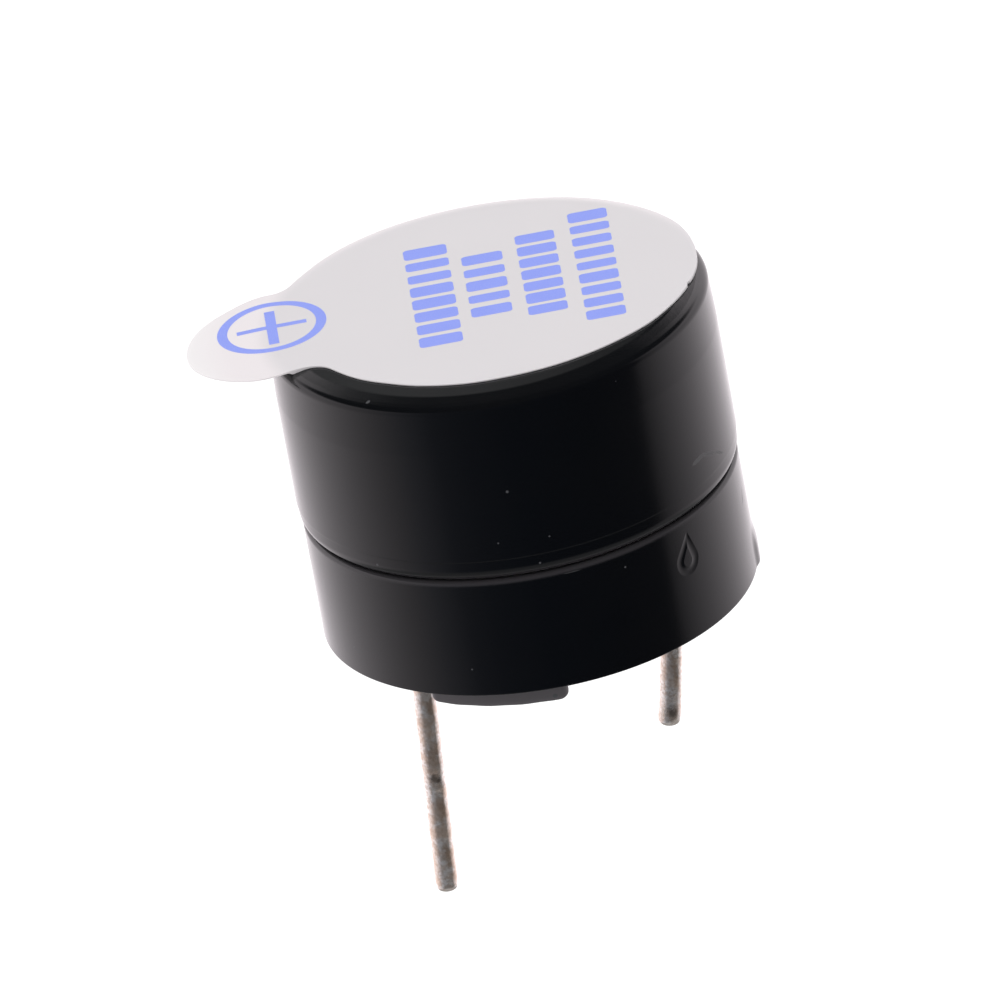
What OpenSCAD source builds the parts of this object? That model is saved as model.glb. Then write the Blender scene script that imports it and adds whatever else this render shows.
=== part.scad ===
// Magnetic buzzer with its own drive circuit: a round two-part case on two pins,
// with a white wash seal stuck over the sound hole.
// Z = 0 is the plane of the stand-off feet. X runs along the two pins.

/* [Case] */
// Outer diameter of the upper case
case_d = 12; // [11.9:0.1:12.2]
// Height of the case from the circuit board that it stands on
case_h = 9.5; // [9.5:0.1:10]
// How much smaller the lower case is than the upper one, on the radius
lower_inset = 0.08; // [0.04:0.01:0.12]
// Height of the stand-off feet
foot_h = 0.8; // [0.6:0.1:0.9]
// Height of the seam between the two halves
seam_z = 4.24; // [4:0.01:4.3]
// Wall of the upper case
wall = 0.65; // [0.6:0.01:0.7]
// Thickness of the top
top_t = 0.8; // [0.6:0.1:0.9]
// Rounding of the top edge
top_round = 0.4; // [0.2:0.05:0.5]
// Diameter of the sound hole
sound_hole_d = 2; // [1.6:0.1:2.4]
// Length of the tuning tube under the sound hole
tube_l = 1; // [0.5:0.1:1.2]

/* [Pins] */
// Diameter of the pins
pin_d = 0.6; // [0.5:0.05:0.6]
// Distance between the pins
pin_pitch = 7.6; // [7.5:0.1:7.7]
// How far the pair of pins stands off the centre of the case
pin_shift = 0.07; // [0:0.01:0.15]
// Lowest point of the positive pin
long_tip_z = -6.86; // [-8:0.01:-6]
// Lowest point of the negative pin
short_tip_z = -4.46; // [-6:0.01:-4]
// How far the positive pin is bent over
long_lean = 3.4; // [1:0.1:6]
// How far the negative pin is bent over
short_lean = 10.2; // [1:0.1:12]
// Direction in which both pins are bent
lean_azimuth = 160; // [0:1:359]

/* [Seal] */
// Radius of the round part of the seal
seal_r = 5.73; // [5.4:0.01:5.8]
// Radius of the pull tab's end
tab_r = 2.42; // [2:0.01:2.6]
// Distance from the seal's centre to the tab's centre
tab_reach = 5.9; // [5.6:0.1:6.2]
// Direction of the tab
tab_azimuth = 166.2; // [160:0.1:170]
// How far the seal is stuck off the middle of the case, along X
seal_off_x = 0.416; // [-0.6:0.001:0.6]
// How far the seal is stuck off the middle of the case, along Y
seal_off_y = 0.812; // [-0.9:0.001:0.9]
// Thickness of the film
film_t = 0.1; // [0.06:0.01:0.12]
// Curvature of the overhanging film, per millimetre
film_droop = 0.33; // [0.2:0.01:0.4]

/* [Drive] */
// Thickness of the spring steel diaphragm
diaphragm_t = 0.06; // [0.04:0.01:0.08]
// Gap between the pole and the diaphragm
air_gap = 0.15; // [0.1:0.01:0.2]
// Outer diameter of the iron pole
pole_d = 2; // [1.8:0.1:2.2]
// Height of the ring magnet
magnet_h = 1.9; // [1.6:0.1:2]
// Number of turns in the outer layer of wire
outer_turns = 12; // [8:1:14]

/* [Hidden] */
$fn = 96;

case_r = case_d / 2;
lower_r = case_r - lower_inset;
case_in_r = case_r - wall;

// The lower case: spigot, ledge, floor and the pocket under the floor
spigot_r = case_in_r - 0.02;
spigot_top = 6.9;
stack_r = 4.95;
ledge_r = 4.5;
ledge_z = 2.9;
floor_z = 1.7;
floor_t = 0.6;
pocket_r = 4.3;
step_h = 0.61;
step_in = 0.03;
rim_round = 0.35;
lip_round = 0.12;
base_round = 0.05;

// Heights of the drive stack, from the board upwards
board_t = 0.6;
board_top = ledge_z + board_t;
yoke_t = 0.8;
yoke_top = board_top + yoke_t;
diaphragm_z = 6.55;
pole_r = pole_d / 2;
flange_t = 0.2;
bobbin_h = 1.8;
flange_r = 3.25;
hub_t = 0.27;
winding_z = yoke_top + flange_t;
winding_h = bobbin_h - 2 * flange_t;
drive_r = 2.6;
feedback_r = 3.1;
magnet_in_r = 3.55;
magnet_r = 4.3;
ring_in_r = 4.4;
ring_r = 4.88;

// Lead wires of the coils
lead_r = 0.06;
lead_path_r = feedback_r + lead_r;
lead_azimuths = [250, 270, 290];
lead_bottom = ledge_z - 0.2;
lead_top = winding_z + 0.7;

// Pins
pin_r = pin_d / 2;
pin_top = board_top - 0.05;
elbow_z = 0.23;
elbow_swell = 0.01;
pin_bevel = 0.07;
solder_h = 0.55;

// Stand-off feet: arcs under the rim
foot_out_r = 5.12;
foot_in_r = 4.4;
foot_half = 21.2;
foot_azimuths = [for (i = [0:2]) 231.3 + 120 * i];
foot_corner = 0.2;
arc_steps = 16;

// Small parts under the board
chip_size = [2.9, 1.3, 1];
chip_pos = [0.2, 1.7];
chip_gap = 0.1;
lead_w = 0.4;
chip_pitch = 0.95;
resistor_size = [1.6, 0.8, 0.45];
resistor_pos = [0, -1.6];
cap_l = 0.3;
cap_t = 0.03;

// Points of a round stretch about a centre, from one angle to another
function arc(cx, cy, r, from, to, steps) =
    [for (i = [0:steps]) [cx + r * cos(from + (to - from) * i / steps),
                          cy + r * sin(from + (to - from) * i / steps)]];

// Upper case: a cup turned over, with the sound hole and its tube in the top
module upper_case() {
    roof_z = case_h - top_t;
    color([0.05, 0.05, 0.06])
    difference() {
        union() {
            rotate_extrude()
                polygon(concat(
                    [[0, case_h]],
                    [[0, roof_z]],
                    arc(case_in_r - 0.3, roof_z - 0.3, 0.3, 90, 0, 6),
                    [[case_in_r, seam_z + 0.1], [case_in_r + 0.1, seam_z]],
                    arc(case_r - step_in - rim_round, seam_z + rim_round, rim_round, -90, 0, 12),
                    [[case_r - step_in, seam_z + step_h], [case_r, seam_z + step_h + step_in]],
                    arc(case_r - top_round, case_h - top_round, top_round, 0, 90, 10)));
            translate([0, 0, roof_z - tube_l])
                cylinder(h = tube_l + 0.1, r = sound_hole_d / 2 + 0.7);
        }
        translate([0, 0, roof_z - tube_l - 0.1])
            cylinder(h = top_t + tube_l + 0.2, d = sound_hole_d);
    }
}

// Outline of a foot: an arc band with rounded corners
module foot_outline() {
    c = foot_corner;
    a_out = foot_half - asin(c / (foot_out_r - c));
    a_in = foot_half - asin(c / (foot_in_r + c));
    o = foot_out_r - c;
    n = foot_in_r + c;
    polygon(concat(
        arc(0, 0, foot_out_r, -a_out, a_out, arc_steps),
        arc(o * cos(a_out), o * sin(a_out), c, a_out, a_out + 90, 4),
        arc(n * cos(a_in), n * sin(a_in), c, a_in + 90, a_in + 180, 4),
        arc(0, 0, foot_in_r, a_in, -a_in, arc_steps),
        arc(n * cos(a_in), -n * sin(a_in), c, -a_in - 180, -a_in - 90, 4),
        arc(o * cos(a_out), -o * sin(a_out), c, -a_out - 90, -a_out, 4)));
}

// Drop-shaped outline, with its point upwards along Y
module drop_outline(r, point) {
    a = asin(r / point);
    polygon(concat(arc(0, 0, r, 180 - a, 360 + a, 20), [[0, point]]));
}

// Mould marks on the outside of the lower case
module mould_marks() {
    // Raised drop with a sunk middle
    rotate([0, 0, -66])
    translate([lower_r - 0.15, 0, 3.02])
    rotate([90, 0, 90])
    linear_extrude(height = 0.21)
    difference() {
        drop_outline(0.24, 0.68);
        drop_outline(0.14, 0.42);
    }
    // Stub where the mould was filled
    rotate([0, 0, -23])
    translate([lower_r - 0.3, 0, foot_h + 0.02])
    rotate([90, 0, 90])
    linear_extrude(height = 0.38)
    polygon(concat([[-0.5, 0], [0.5, 0]], arc(0.3, 0.5, 0.2, 0, 90, 5), arc(-0.3, 0.5, 0.2, 90, 180, 5)));
}

// Lower case: a cup with a lapped spigot, a ledge for the board and three feet
module lower_case() {
    color([0.05, 0.05, 0.06])
    difference() {
        union() {
            rotate_extrude()
                polygon(concat(
                    [[0, foot_h]],
                    arc(lower_r - base_round, foot_h + base_round, base_round, -90, 0, 4),
                    arc(lower_r - lip_round, seam_z - lip_round, lip_round, 0, 90, 6),
                    [[spigot_r, seam_z], [spigot_r, spigot_top - 0.1]],
                    [[spigot_r - 0.1, spigot_top], [stack_r, spigot_top]],
                    [[stack_r, ledge_z], [ledge_r, ledge_z], [ledge_r, floor_z], [0, floor_z]]));
            for (a = foot_azimuths)
                rotate([0, 0, a])
                linear_extrude(height = foot_h + 0.2)
                foot_outline();
            mould_marks();
        }
        translate([0, 0, foot_h - 1])
            cylinder(h = floor_z - floor_t - foot_h + 1, r = pocket_r);
        for (s = [-1, 1])
            translate([pin_shift + s * pin_pitch / 2, 0, 0])
            cylinder(h = floor_z + 0.1, r = pin_r + 0.03);
    }
}

// Outline of the seal, pointing along X: a disc, a round-ended tab and filleted necks
module seal_outline() {
    neck_r = 0.8;
    neck_x = sqrt(pow(seal_r + neck_r, 2) - pow(tab_r + neck_r, 2));
    k = seal_r / (seal_r + neck_r);
    circle(r = seal_r);
    translate([tab_reach, 0])
        circle(r = tab_r);
    difference() {
        polygon([
            [tab_reach, tab_r], [neck_x, tab_r], [neck_x, tab_r + neck_r],
            [k * neck_x, k * (tab_r + neck_r)],
            [k * neck_x, -k * (tab_r + neck_r)],
            [neck_x, -tab_r - neck_r], [neck_x, -tab_r], [tab_reach, -tab_r]]);
        for (s = [-1, 1])
            translate([neck_x, s * (tab_r + neck_r)])
            circle(r = neck_r);
    }
}

// The film lies flat on the top, and bends down where it overhangs the rim
module draped_film() {
    flat_r = case_r - top_round;
    outer = case_r + 1;
    steps = 10;
    function drop(r) = film_droop * pow(max(0, r - flat_r), 2);
    radii = [for (i = [0:steps]) flat_r + (outer - flat_r) * i / steps];
    rotate_extrude()
        polygon(concat(
            [[0, case_h]],
            [for (r = radii) [r, case_h - drop(r)]],
            [for (i = [steps:-1:0]) [radii[i], case_h + film_t - drop(radii[i])]],
            [[0, case_h + film_t]]));
}

// Side view of the tab: level over the case, then falling away in a gentle bend
module tab_profile() {
    start = 4.9;
    bend = 5.75;
    end = 9;
    fall = 0.16;
    steps = 8;
    function dip(x) = fall * pow(max(0, x - bend) / (end - bend), 1.5);
    xs = [for (i = [0:steps]) bend + (end - bend) * i / steps];
    polygon(concat(
        [[start, case_h]],
        [for (x = xs) [x, case_h - dip(x)]],
        [for (i = [steps:-1:0]) [xs[i], case_h + film_t - dip(xs[i])]],
        [[start, case_h + film_t]]));
}

// Wash seal: die-cut white film with a pull tab
module seal_label() {
    tab_start = 4.9;
    color([0.88, 0.86, 0.87])
    union() {
        intersection() {
            draped_film();
            translate([seal_off_x, seal_off_y, case_h - 1])
                rotate([0, 0, tab_azimuth])
                linear_extrude(height = 2)
                intersection() {
                    seal_outline();
                    translate([-8, -8])
                        square([8 + tab_start + 0.01, 16]);
                }
        }
        translate([seal_off_x, seal_off_y, 0])
        rotate([0, 0, tab_azimuth])
        intersection() {
            rotate([90, 0, 0])
                linear_extrude(height = 8, center = true)
                tab_profile();
            translate([0, 0, case_h - 1])
                linear_extrude(height = 2)
                seal_outline();
        }
    }
}

// Spring steel disc that sounds the note
module diaphragm() {
    color([0.72, 0.73, 0.75])
    translate([0, 0, diaphragm_z])
        cylinder(h = diaphragm_t, r = ring_r);
}

// Iron disc welded to the middle of the diaphragm
module diaphragm_weight() {
    color([0.55, 0.55, 0.57])
    translate([0, 0, diaphragm_z + diaphragm_t])
        rotate_extrude()
        polygon([[0, 0], [1.85, 0], [1.9, 0.05], [1.9, 0.28], [1.82, 0.35], [0, 0.35]]);
}

// Ring that carries the edge of the diaphragm
module support_ring() {
    color([0.75, 0.72, 0.6])
    translate([0, 0, yoke_top])
        rotate_extrude()
        polygon([
            [ring_in_r, 0], [ring_r, 0], [ring_r, diaphragm_z - yoke_top],
            [ring_r - 0.3, diaphragm_z - yoke_top], [ring_r - 0.34, diaphragm_z - yoke_top - 0.12],
            [ring_in_r, diaphragm_z - yoke_top - 0.12]]);
}

// Ring magnet that holds the diaphragm down on its ring
module magnet_ring() {
    color([0.25, 0.25, 0.26])
    translate([0, 0, yoke_top])
        rotate_extrude()
        polygon([
            [magnet_in_r, 0], [magnet_r, 0], [magnet_r, magnet_h - 0.1],
            [magnet_r - 0.1, magnet_h], [magnet_in_r + 0.1, magnet_h], [magnet_in_r, magnet_h - 0.1]]);
}

// Iron base plate, with the pole's hole and the holes for the lead wires
module yoke_plate() {
    color([0.62, 0.62, 0.64])
    difference() {
        translate([0, 0, board_top])
            cylinder(h = yoke_t, r = ring_r);
        translate([0, 0, board_top - 0.1])
            cylinder(h = yoke_t + 0.2, r = pole_r);
        for (a = lead_azimuths)
            rotate([0, 0, a])
            translate([lead_path_r, 0, board_top - 0.1])
            cylinder(h = yoke_t + 0.2, r = 0.25);
    }
}

// Iron pole pressed into the base plate
module pole_core() {
    tip = diaphragm_z - air_gap;
    color([0.6, 0.6, 0.62])
    rotate_extrude()
        polygon([
            [0, board_top], [pole_r, board_top], [pole_r, tip - 0.1],
            [pole_r - 0.1, tip], [0, tip]]);
}

// Bobbin: a hub and two flanges, notched for the wires
module coil_bobbin() {
    hub_in_r = pole_r + 0.02;
    hub_out_r = pole_r + 0.02 + hub_t;
    color([0.85, 0.83, 0.75])
    difference() {
        translate([0, 0, yoke_top])
            rotate_extrude()
            polygon([
                [hub_in_r, 0], [flange_r, 0], [flange_r, flange_t],
                [hub_out_r, flange_t], [hub_out_r, bobbin_h - flange_t],
                [flange_r, bobbin_h - flange_t], [flange_r, bobbin_h], [hub_in_r, bobbin_h]]);
        for (a = lead_azimuths)
            rotate([0, 0, a])
            translate([lead_path_r, 0, yoke_top - 0.1])
            cylinder(h = flange_t + 0.2, r = 0.14);
    }
}

// Winding that drives the diaphragm, under the feedback winding
module drive_coil() {
    color([0.72, 0.4, 0.2])
    translate([0, 0, winding_z])
    difference() {
        cylinder(h = winding_h, r = drive_r);
        translate([0, 0, -0.1])
            cylinder(h = winding_h + 0.2, r = pole_r + 0.02 + hub_t);
    }
}

// Winding that senses the diaphragm, with the turns of its outer layer
module feedback_coil() {
    turn_r = winding_h / outer_turns / 2;
    color([0.8, 0.45, 0.22])
    translate([0, 0, winding_z])
    rotate_extrude()
        polygon(concat(
            [[drive_r, 0]],
            [for (i = [0:outer_turns - 1])
                each arc(feedback_r - turn_r, (2 * i + 1) * turn_r, turn_r, -80, 80, 6)],
            [[drive_r, winding_h]]));
}

// Three lead wires, from the outer layer down through the board
module coil_leads() {
    color([0.8, 0.45, 0.22])
    for (a = lead_azimuths)
        rotate([0, 0, a])
        translate([lead_path_r, 0, lead_bottom])
        cylinder(h = lead_top - lead_bottom, r = lead_r, $fn = 24);
}

// Round circuit board, with holes for the pins and the lead wires
module circuit_board() {
    color([0.76, 0.66, 0.42])
    difference() {
        translate([0, 0, ledge_z])
            cylinder(h = board_t, r = stack_r - 0.05);
        for (s = [-1, 1])
            translate([pin_shift + s * pin_pitch / 2, 0, ledge_z - 0.1])
            cylinder(h = board_t + 0.2, r = pin_r + 0.05);
        for (a = lead_azimuths)
            rotate([0, 0, a])
            translate([lead_path_r, 0, ledge_z - 0.1])
            cylinder(h = board_t + 0.2, r = 0.12);
    }
}

// Transistor that switches the coil, under the board
module transistor_body() {
    top = ledge_z - chip_gap;
    color([0.1, 0.1, 0.11])
    translate([chip_pos[0], chip_pos[1], top - chip_size[2]])
    rotate([90, 0, 90])
    linear_extrude(height = chip_size[0], center = true)
    polygon([
        [-chip_size[1] / 2, chip_size[2] / 2], [-chip_size[1] / 2 + 0.07, 0],
        [chip_size[1] / 2 - 0.07, 0], [chip_size[1] / 2, chip_size[2] / 2],
        [chip_size[1] / 2 - 0.07, chip_size[2]], [-chip_size[1] / 2 + 0.07, chip_size[2]]]);
}

// Gull-wing leads of the transistor: two on one side and one on the other
module transistor_leads() {
    side = chip_size[1] / 2;
    mid = ledge_z - chip_gap - chip_size[2] / 2;
    t = 0.12;
    color([0.8, 0.8, 0.82])
    for (lead = [[-chip_pitch, -1], [chip_pitch, -1], [0, 1]])
        translate([chip_pos[0] + lead[0], chip_pos[1], 0])
        mirror([0, lead[1] < 0 ? 1 : 0, 0])
        rotate([90, 0, 90])
        linear_extrude(height = lead_w, center = true)
        polygon([
            [side, mid - t / 2], [side + 0.25, mid - t / 2], [side + 0.35, ledge_z - t],
            [side + 0.6, ledge_z - t], [side + 0.6, ledge_z], [side + 0.23, ledge_z],
            [side + 0.13, mid + t / 2], [side, mid + t / 2]]);
}

// Chip resistor in the transistor's base line: the ceramic body
module resistor_body() {
    color([0.15, 0.15, 0.17])
    translate([
        resistor_pos[0] - resistor_size[0] / 2 + cap_t,
        resistor_pos[1] - resistor_size[1] / 2 + cap_t,
        ledge_z - resistor_size[2] + cap_t])
    cube([resistor_size[0] - 2 * cap_t, resistor_size[1] - 2 * cap_t, resistor_size[2] - 2 * cap_t]);
}

// Chip resistor: the plated end caps
module resistor_terminals() {
    color([0.82, 0.82, 0.83])
    difference() {
        for (s = [-1, 1])
            translate([
                resistor_pos[0] + s * (resistor_size[0] - cap_l) / 2,
                resistor_pos[1],
                ledge_z - resistor_size[2] / 2])
            cube([cap_l, resistor_size[1], resistor_size[2]], center = true);
        translate([
            resistor_pos[0] - resistor_size[0] / 2 + cap_t,
            resistor_pos[1] - resistor_size[1] / 2 + cap_t,
            ledge_z - resistor_size[2] + cap_t])
        cube([resistor_size[0] - 2 * cap_t, resistor_size[1] - 2 * cap_t, resistor_size[2] - 2 * cap_t]);
    }
}

// A pin: upright through the floor, with an elbow below it and a leaning end
module pin(x, tip_z, lean) {
    leaning = (elbow_z - tip_z) / cos(lean);
    color([0.62, 0.58, 0.54])
    translate([x, 0, elbow_z])
    rotate([0, 0, lean_azimuth])
    union() {
        cylinder(h = pin_top - elbow_z, r = pin_r);
        sphere(r = pin_r + elbow_swell);
        rotate([0, 180 - lean, 0])
            rotate_extrude()
            polygon([
                [0, 0], [pin_r, 0], [pin_r, leaning - pin_bevel],
                [pin_r - pin_bevel, leaning], [0, leaning]]);
    }
}

module positive_pin() {
    pin(pin_shift - pin_pitch / 2, long_tip_z, long_lean);
}

module negative_pin() {
    pin(pin_shift + pin_pitch / 2, short_tip_z, short_lean);
}

// Solder fillets under the board, round the pins and the lead wires
module solder_joints() {
    color([0.75, 0.75, 0.77])
    union() {
        for (s = [-1, 1])
            translate([pin_shift + s * pin_pitch / 2, 0, ledge_z])
            mirror([0, 0, 1])
            rotate_extrude()
            polygon([
                [pin_r, 0], [pin_r + 0.2, 0], [pin_r + 0.16, 0.1], [pin_r + 0.08, 0.26],
                [pin_r + 0.03, solder_h], [pin_r, solder_h]]);
        for (a = lead_azimuths)
            rotate([0, 0, a])
            translate([lead_path_r, 0, ledge_z])
            mirror([0, 0, 1])
            rotate_extrude()
            polygon([
                [lead_r, 0], [0.25, 0], [0.22, 0.1], [0.12, 0.2], [lead_r, 0.2]]);
    }
}

// Resin cast into the pocket under the floor, with a shallow rise at its edge
module potting_seal() {
    top = floor_z - floor_t;
    color([0.09, 0.09, 0.1])
    difference() {
        rotate_extrude()
            polygon([
                [0, foot_h + 0.07], [pocket_r - 0.35, foot_h + 0.07], [pocket_r - 0.15, foot_h + 0.06],
                [pocket_r, foot_h + 0.02], [pocket_r, top], [0, top]]);
        for (s = [-1, 1])
            translate([pin_shift + s * pin_pitch / 2, 0, 0])
            cylinder(h = top + 1, r = pin_r);
    }
}

upper_case();
lower_case();
seal_label();
diaphragm();
diaphragm_weight();
support_ring();
magnet_ring();
yoke_plate();
pole_core();
coil_bobbin();
drive_coil();
feedback_coil();
coil_leads();
circuit_board();
transistor_body();
transistor_leads();
resistor_body();
resistor_terminals();
positive_pin();
negative_pin();
solder_joints();
potting_seal();
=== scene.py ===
# %% [markdown]
# # A magnetic buzzer, built in Blender round its CAD model
# The buzzer is a black two-part case, 12 mm across, that stands on two bent pins. A white die-cut
# seal covers its sound hole until the circuit board has been washed. The CAD model gives every
# size. This lesson gives each piece that shows its finish, and a finer mesh where it needs one.

# %% Load the CAD model
from math import asin, atan2, cos, degrees, exp, pi, radians, sin, sqrt, tan

import bmesh
import bpy
import numpy as np
from mathutils import Matrix, Vector


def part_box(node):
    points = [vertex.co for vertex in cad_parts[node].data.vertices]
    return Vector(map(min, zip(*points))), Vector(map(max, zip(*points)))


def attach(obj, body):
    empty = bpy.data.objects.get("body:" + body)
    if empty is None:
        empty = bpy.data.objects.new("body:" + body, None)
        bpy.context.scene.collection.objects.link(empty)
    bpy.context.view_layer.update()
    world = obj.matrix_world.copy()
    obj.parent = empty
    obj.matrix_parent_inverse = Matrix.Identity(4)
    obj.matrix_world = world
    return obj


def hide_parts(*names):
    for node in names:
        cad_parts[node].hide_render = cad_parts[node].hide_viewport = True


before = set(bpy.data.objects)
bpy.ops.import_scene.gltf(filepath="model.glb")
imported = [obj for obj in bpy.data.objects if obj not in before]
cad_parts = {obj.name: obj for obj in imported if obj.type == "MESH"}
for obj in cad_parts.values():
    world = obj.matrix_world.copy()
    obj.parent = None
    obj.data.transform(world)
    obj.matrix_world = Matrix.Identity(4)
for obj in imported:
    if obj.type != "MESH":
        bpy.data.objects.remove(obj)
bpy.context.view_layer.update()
MM = 0.001
scene = bpy.context.scene

# %% [markdown]
# ## Camera
# The buzzer is seen from 26 degrees above, a little from its left, and it leans in the picture, so
# the camera is rolled. A long lens from far away keeps the ellipses of the case nearly the same
# at the top and at the bottom. The camera's axes are built as three vectors, because a rolled
# camera is easier to read that way than as three angles.

# %% Aim the camera
view_azimuth, view_elevation, view_roll = radians(-20), radians(26.13), radians(10.57)
view_distance = 0.8
view_width = 26.816 * MM
case_middle = Vector((0, 0, 5.05 * MM))

back = Vector((sin(view_azimuth) * cos(view_elevation), -cos(view_azimuth) * cos(view_elevation),
               sin(view_elevation)))
level_right = Vector((cos(view_azimuth), sin(view_azimuth), 0))
level_up = back.cross(level_right)
right = cos(view_roll) * level_right - sin(view_roll) * level_up
up = cos(view_roll) * level_up + sin(view_roll) * level_right
# The middle of the view lies a little off the middle of the case: (way, distance in mm)
aim_shifts = [(level_right, -0.611), (level_up, -1.232), (right, -0.0134), (up, 0.0403)]
aim = sum((way * far * MM for way, far in aim_shifts), case_middle)

camera_data = bpy.data.cameras.new("camera")
camera_data.lens = camera_data.sensor_width * view_distance / view_width
camera_data.clip_start, camera_data.clip_end = 0.01, 10
camera = bpy.data.objects.new("camera", camera_data)
camera.matrix_world = Matrix.Translation(aim + back * view_distance) @ Matrix(
    (right, up, back)).transposed().to_4x4()
scene.collection.objects.link(camera)
scene.camera = camera
print("lens", round(camera_data.lens), "mm, from", round(view_distance, 2), "m")

# %% [markdown]
# ## Helpers for node trees
# Every world, material and Geometry Nodes tree below is built from nodes and links. One helper
# adds a node and fills its inputs, with plain values or with the outputs of other nodes, so that
# a tree reads like a formula. Short helpers on top of it do arithmetic on numbers, vectors and
# colours. The last one starts a reusable group with named inputs and outputs.

# %% Helpers for node trees
def put(tree, kind, inputs=None, **settings):
    """Adds a node. inputs maps a socket's name or number to a value or to a node's output."""
    node = tree.nodes.new(kind)
    for name, value in settings.items():
        setattr(node, name, value)
    for name, value in (inputs or {}).items():
        socket = node.inputs[name]
        if isinstance(value, bpy.types.NodeSocket):
            tree.links.new(value, socket)
        else:
            socket.default_value = value
    return node


def calc(tree, operation, *values):
    """One step of arithmetic, as a Math node. Returns its output."""
    return put(tree, "ShaderNodeMath", dict(enumerate(values)), operation=operation).outputs[0]


def calc_vector(tree, operation, *values):
    """One step of arithmetic on vectors. Returns a number for a length or a dot product."""
    node = put(tree, "ShaderNodeVectorMath", dict(enumerate(values)), operation=operation)
    return node.outputs["Value" if operation in ("LENGTH", "DOT_PRODUCT") else "Vector"]


def xyz_of(tree, vector):
    """The outputs X, Y and Z of a vector."""
    return put(tree, "ShaderNodeSeparateXYZ", {0: vector}).outputs


def vector_of(tree, x=0.0, y=0.0, z=0.0):
    """A vector of three numbers."""
    return put(tree, "ShaderNodeCombineXYZ", {"X": x, "Y": y, "Z": z}).outputs[0]


print("helpers:", *(f.__name__ for f in (put, calc, calc_vector, xyz_of, vector_of)))

# %% Masks and colours
def ramp(tree, value, low, high, to_low=0.0, to_high=1.0):
    """A soft way from to_low to to_high, while value goes from low to high."""
    return put(tree, "ShaderNodeMapRange",
               {"Value": value, "From Min": low, "From Max": high, "To Min": to_low,
                "To Max": to_high}, interpolation_type="SMOOTHSTEP").outputs["Result"]


def blend_colour(tree, share, *colours):
    """The first colour where share is 0, the second where it is 1."""
    first, second = (c if isinstance(c, bpy.types.NodeSocket) else (*c, 1) for c in colours)
    return put(tree, "ShaderNodeMix", {0: share, 6: first, 7: second},
               data_type="RGBA").outputs[2]


print("helpers:", ramp.__name__, blend_colour.__name__)

# %% Start of a group
def new_tree(name, kind, takes, gives):
    """Starts a node group. takes and gives list (name, kind of socket, start value)."""
    tree = bpy.data.node_groups.new(name, kind)
    for side, sockets in (("INPUT", takes), ("OUTPUT", gives)):
        for label, socket, *start in sockets:
            made = tree.interface.new_socket(label, in_out=side, socket_type="NodeSocket" + socket)
            if start:
                made.default_value = start[0]
    return tree, tree.nodes.new("NodeGroupInput").outputs, tree.nodes.new("NodeGroupOutput").inputs


print("helper:", new_tree.__name__)

# %% [markdown]
# ## Studio
# A black glossy case is drawn almost wholly by what it mirrors: a dark room in front of it, and a
# white sweep behind it that shows along its left and right sides. Panels could stand for these,
# but a world that is brighter towards the back does the same with nothing to place. Overhead it
# is dark, apart from a dim window behind on the left, which the sloping crown of the case mirrors.
# Only glossy rays see that world. Diffuse rays see a plain level, so that colours render as they
# are written, and camera rays see white. The floor lies well below the pins and keeps a soft
# shadow.

# %% Sweep round the horizon
front_azimuth = view_azimuth - radians(90)
# (degrees from the front, level)
surround = [(-180, 1.33), (-150, 1.3), (-136, 1.25), (-120, 1.13), (-104, 0.97), (-88, 0.74),
            (-72, 0.5), (-56, 0.28), (-40, 0.11), (-24, 0.06), (0, 0.03), (40, 0.018),
            (66, 0.03), (71, 0.05), (76, 0.24), (88, 0.52), (104, 0.8), (120, 1.05),
            (136, 1.25), (150, 1.33), (180, 1.33)]
brightest = max(level for _, level in surround)
front_tint, side_tint, full_side = (0.75, 0.95, 1.3), (1.05, 0.98, 1.02), 70
headroom = 1.05

scene.view_settings.view_transform = "Standard"
world = bpy.data.worlds.new("studio")
scene.world = world
world.use_nodes = True
sky = world.node_tree
sky.nodes.clear()
direction_vector = put(sky, "ShaderNodeTexCoord").outputs["Generated"]
direction = xyz_of(sky, direction_vector)
azimuth = calc(sky, "ARCTAN2", direction["Y"], direction["X"])
share = calc(sky, "FRACT", calc(sky, "DIVIDE", calc(sky, "ADD", azimuth, 3 * pi - front_azimuth),
                                2 * pi))
sweep = put(sky, "ShaderNodeValToRGB", {"Fac": share})
for turn, level in surround:
    place = (turn + 180) / 360
    stops = sweep.color_ramp.elements
    stop = stops[0] if turn == -180 else stops[-1] if turn == 180 else stops.new(place)
    side = min(1, abs(turn) / full_side)
    tint = [a + (b - a) * side for a, b in zip(front_tint, side_tint)]
    stop.color = (*(level / brightest / headroom * c for c in tint), 1)
gloss = put(sky, "ShaderNodeVectorMath",
            {0: sweep.outputs["Color"], "Scale": brightest * headroom},
            operation="SCALE").outputs[0]
print("sweep has", len(surround), "levels, up to", brightest)

# %% Window and ceiling
ceiling_level, window_level, ground_level = 0.04, 0.23, 0.25


def facing(turn, height):
    """How squarely the sky's direction points to a turn from the front and an elevation."""
    turn, height = front_azimuth + radians(turn), radians(height)
    way = (cos(turn) * cos(height), sin(turn) * cos(height), sin(height))
    return calc_vector(sky, "DOT_PRODUCT", direction_vector, way)


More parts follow.
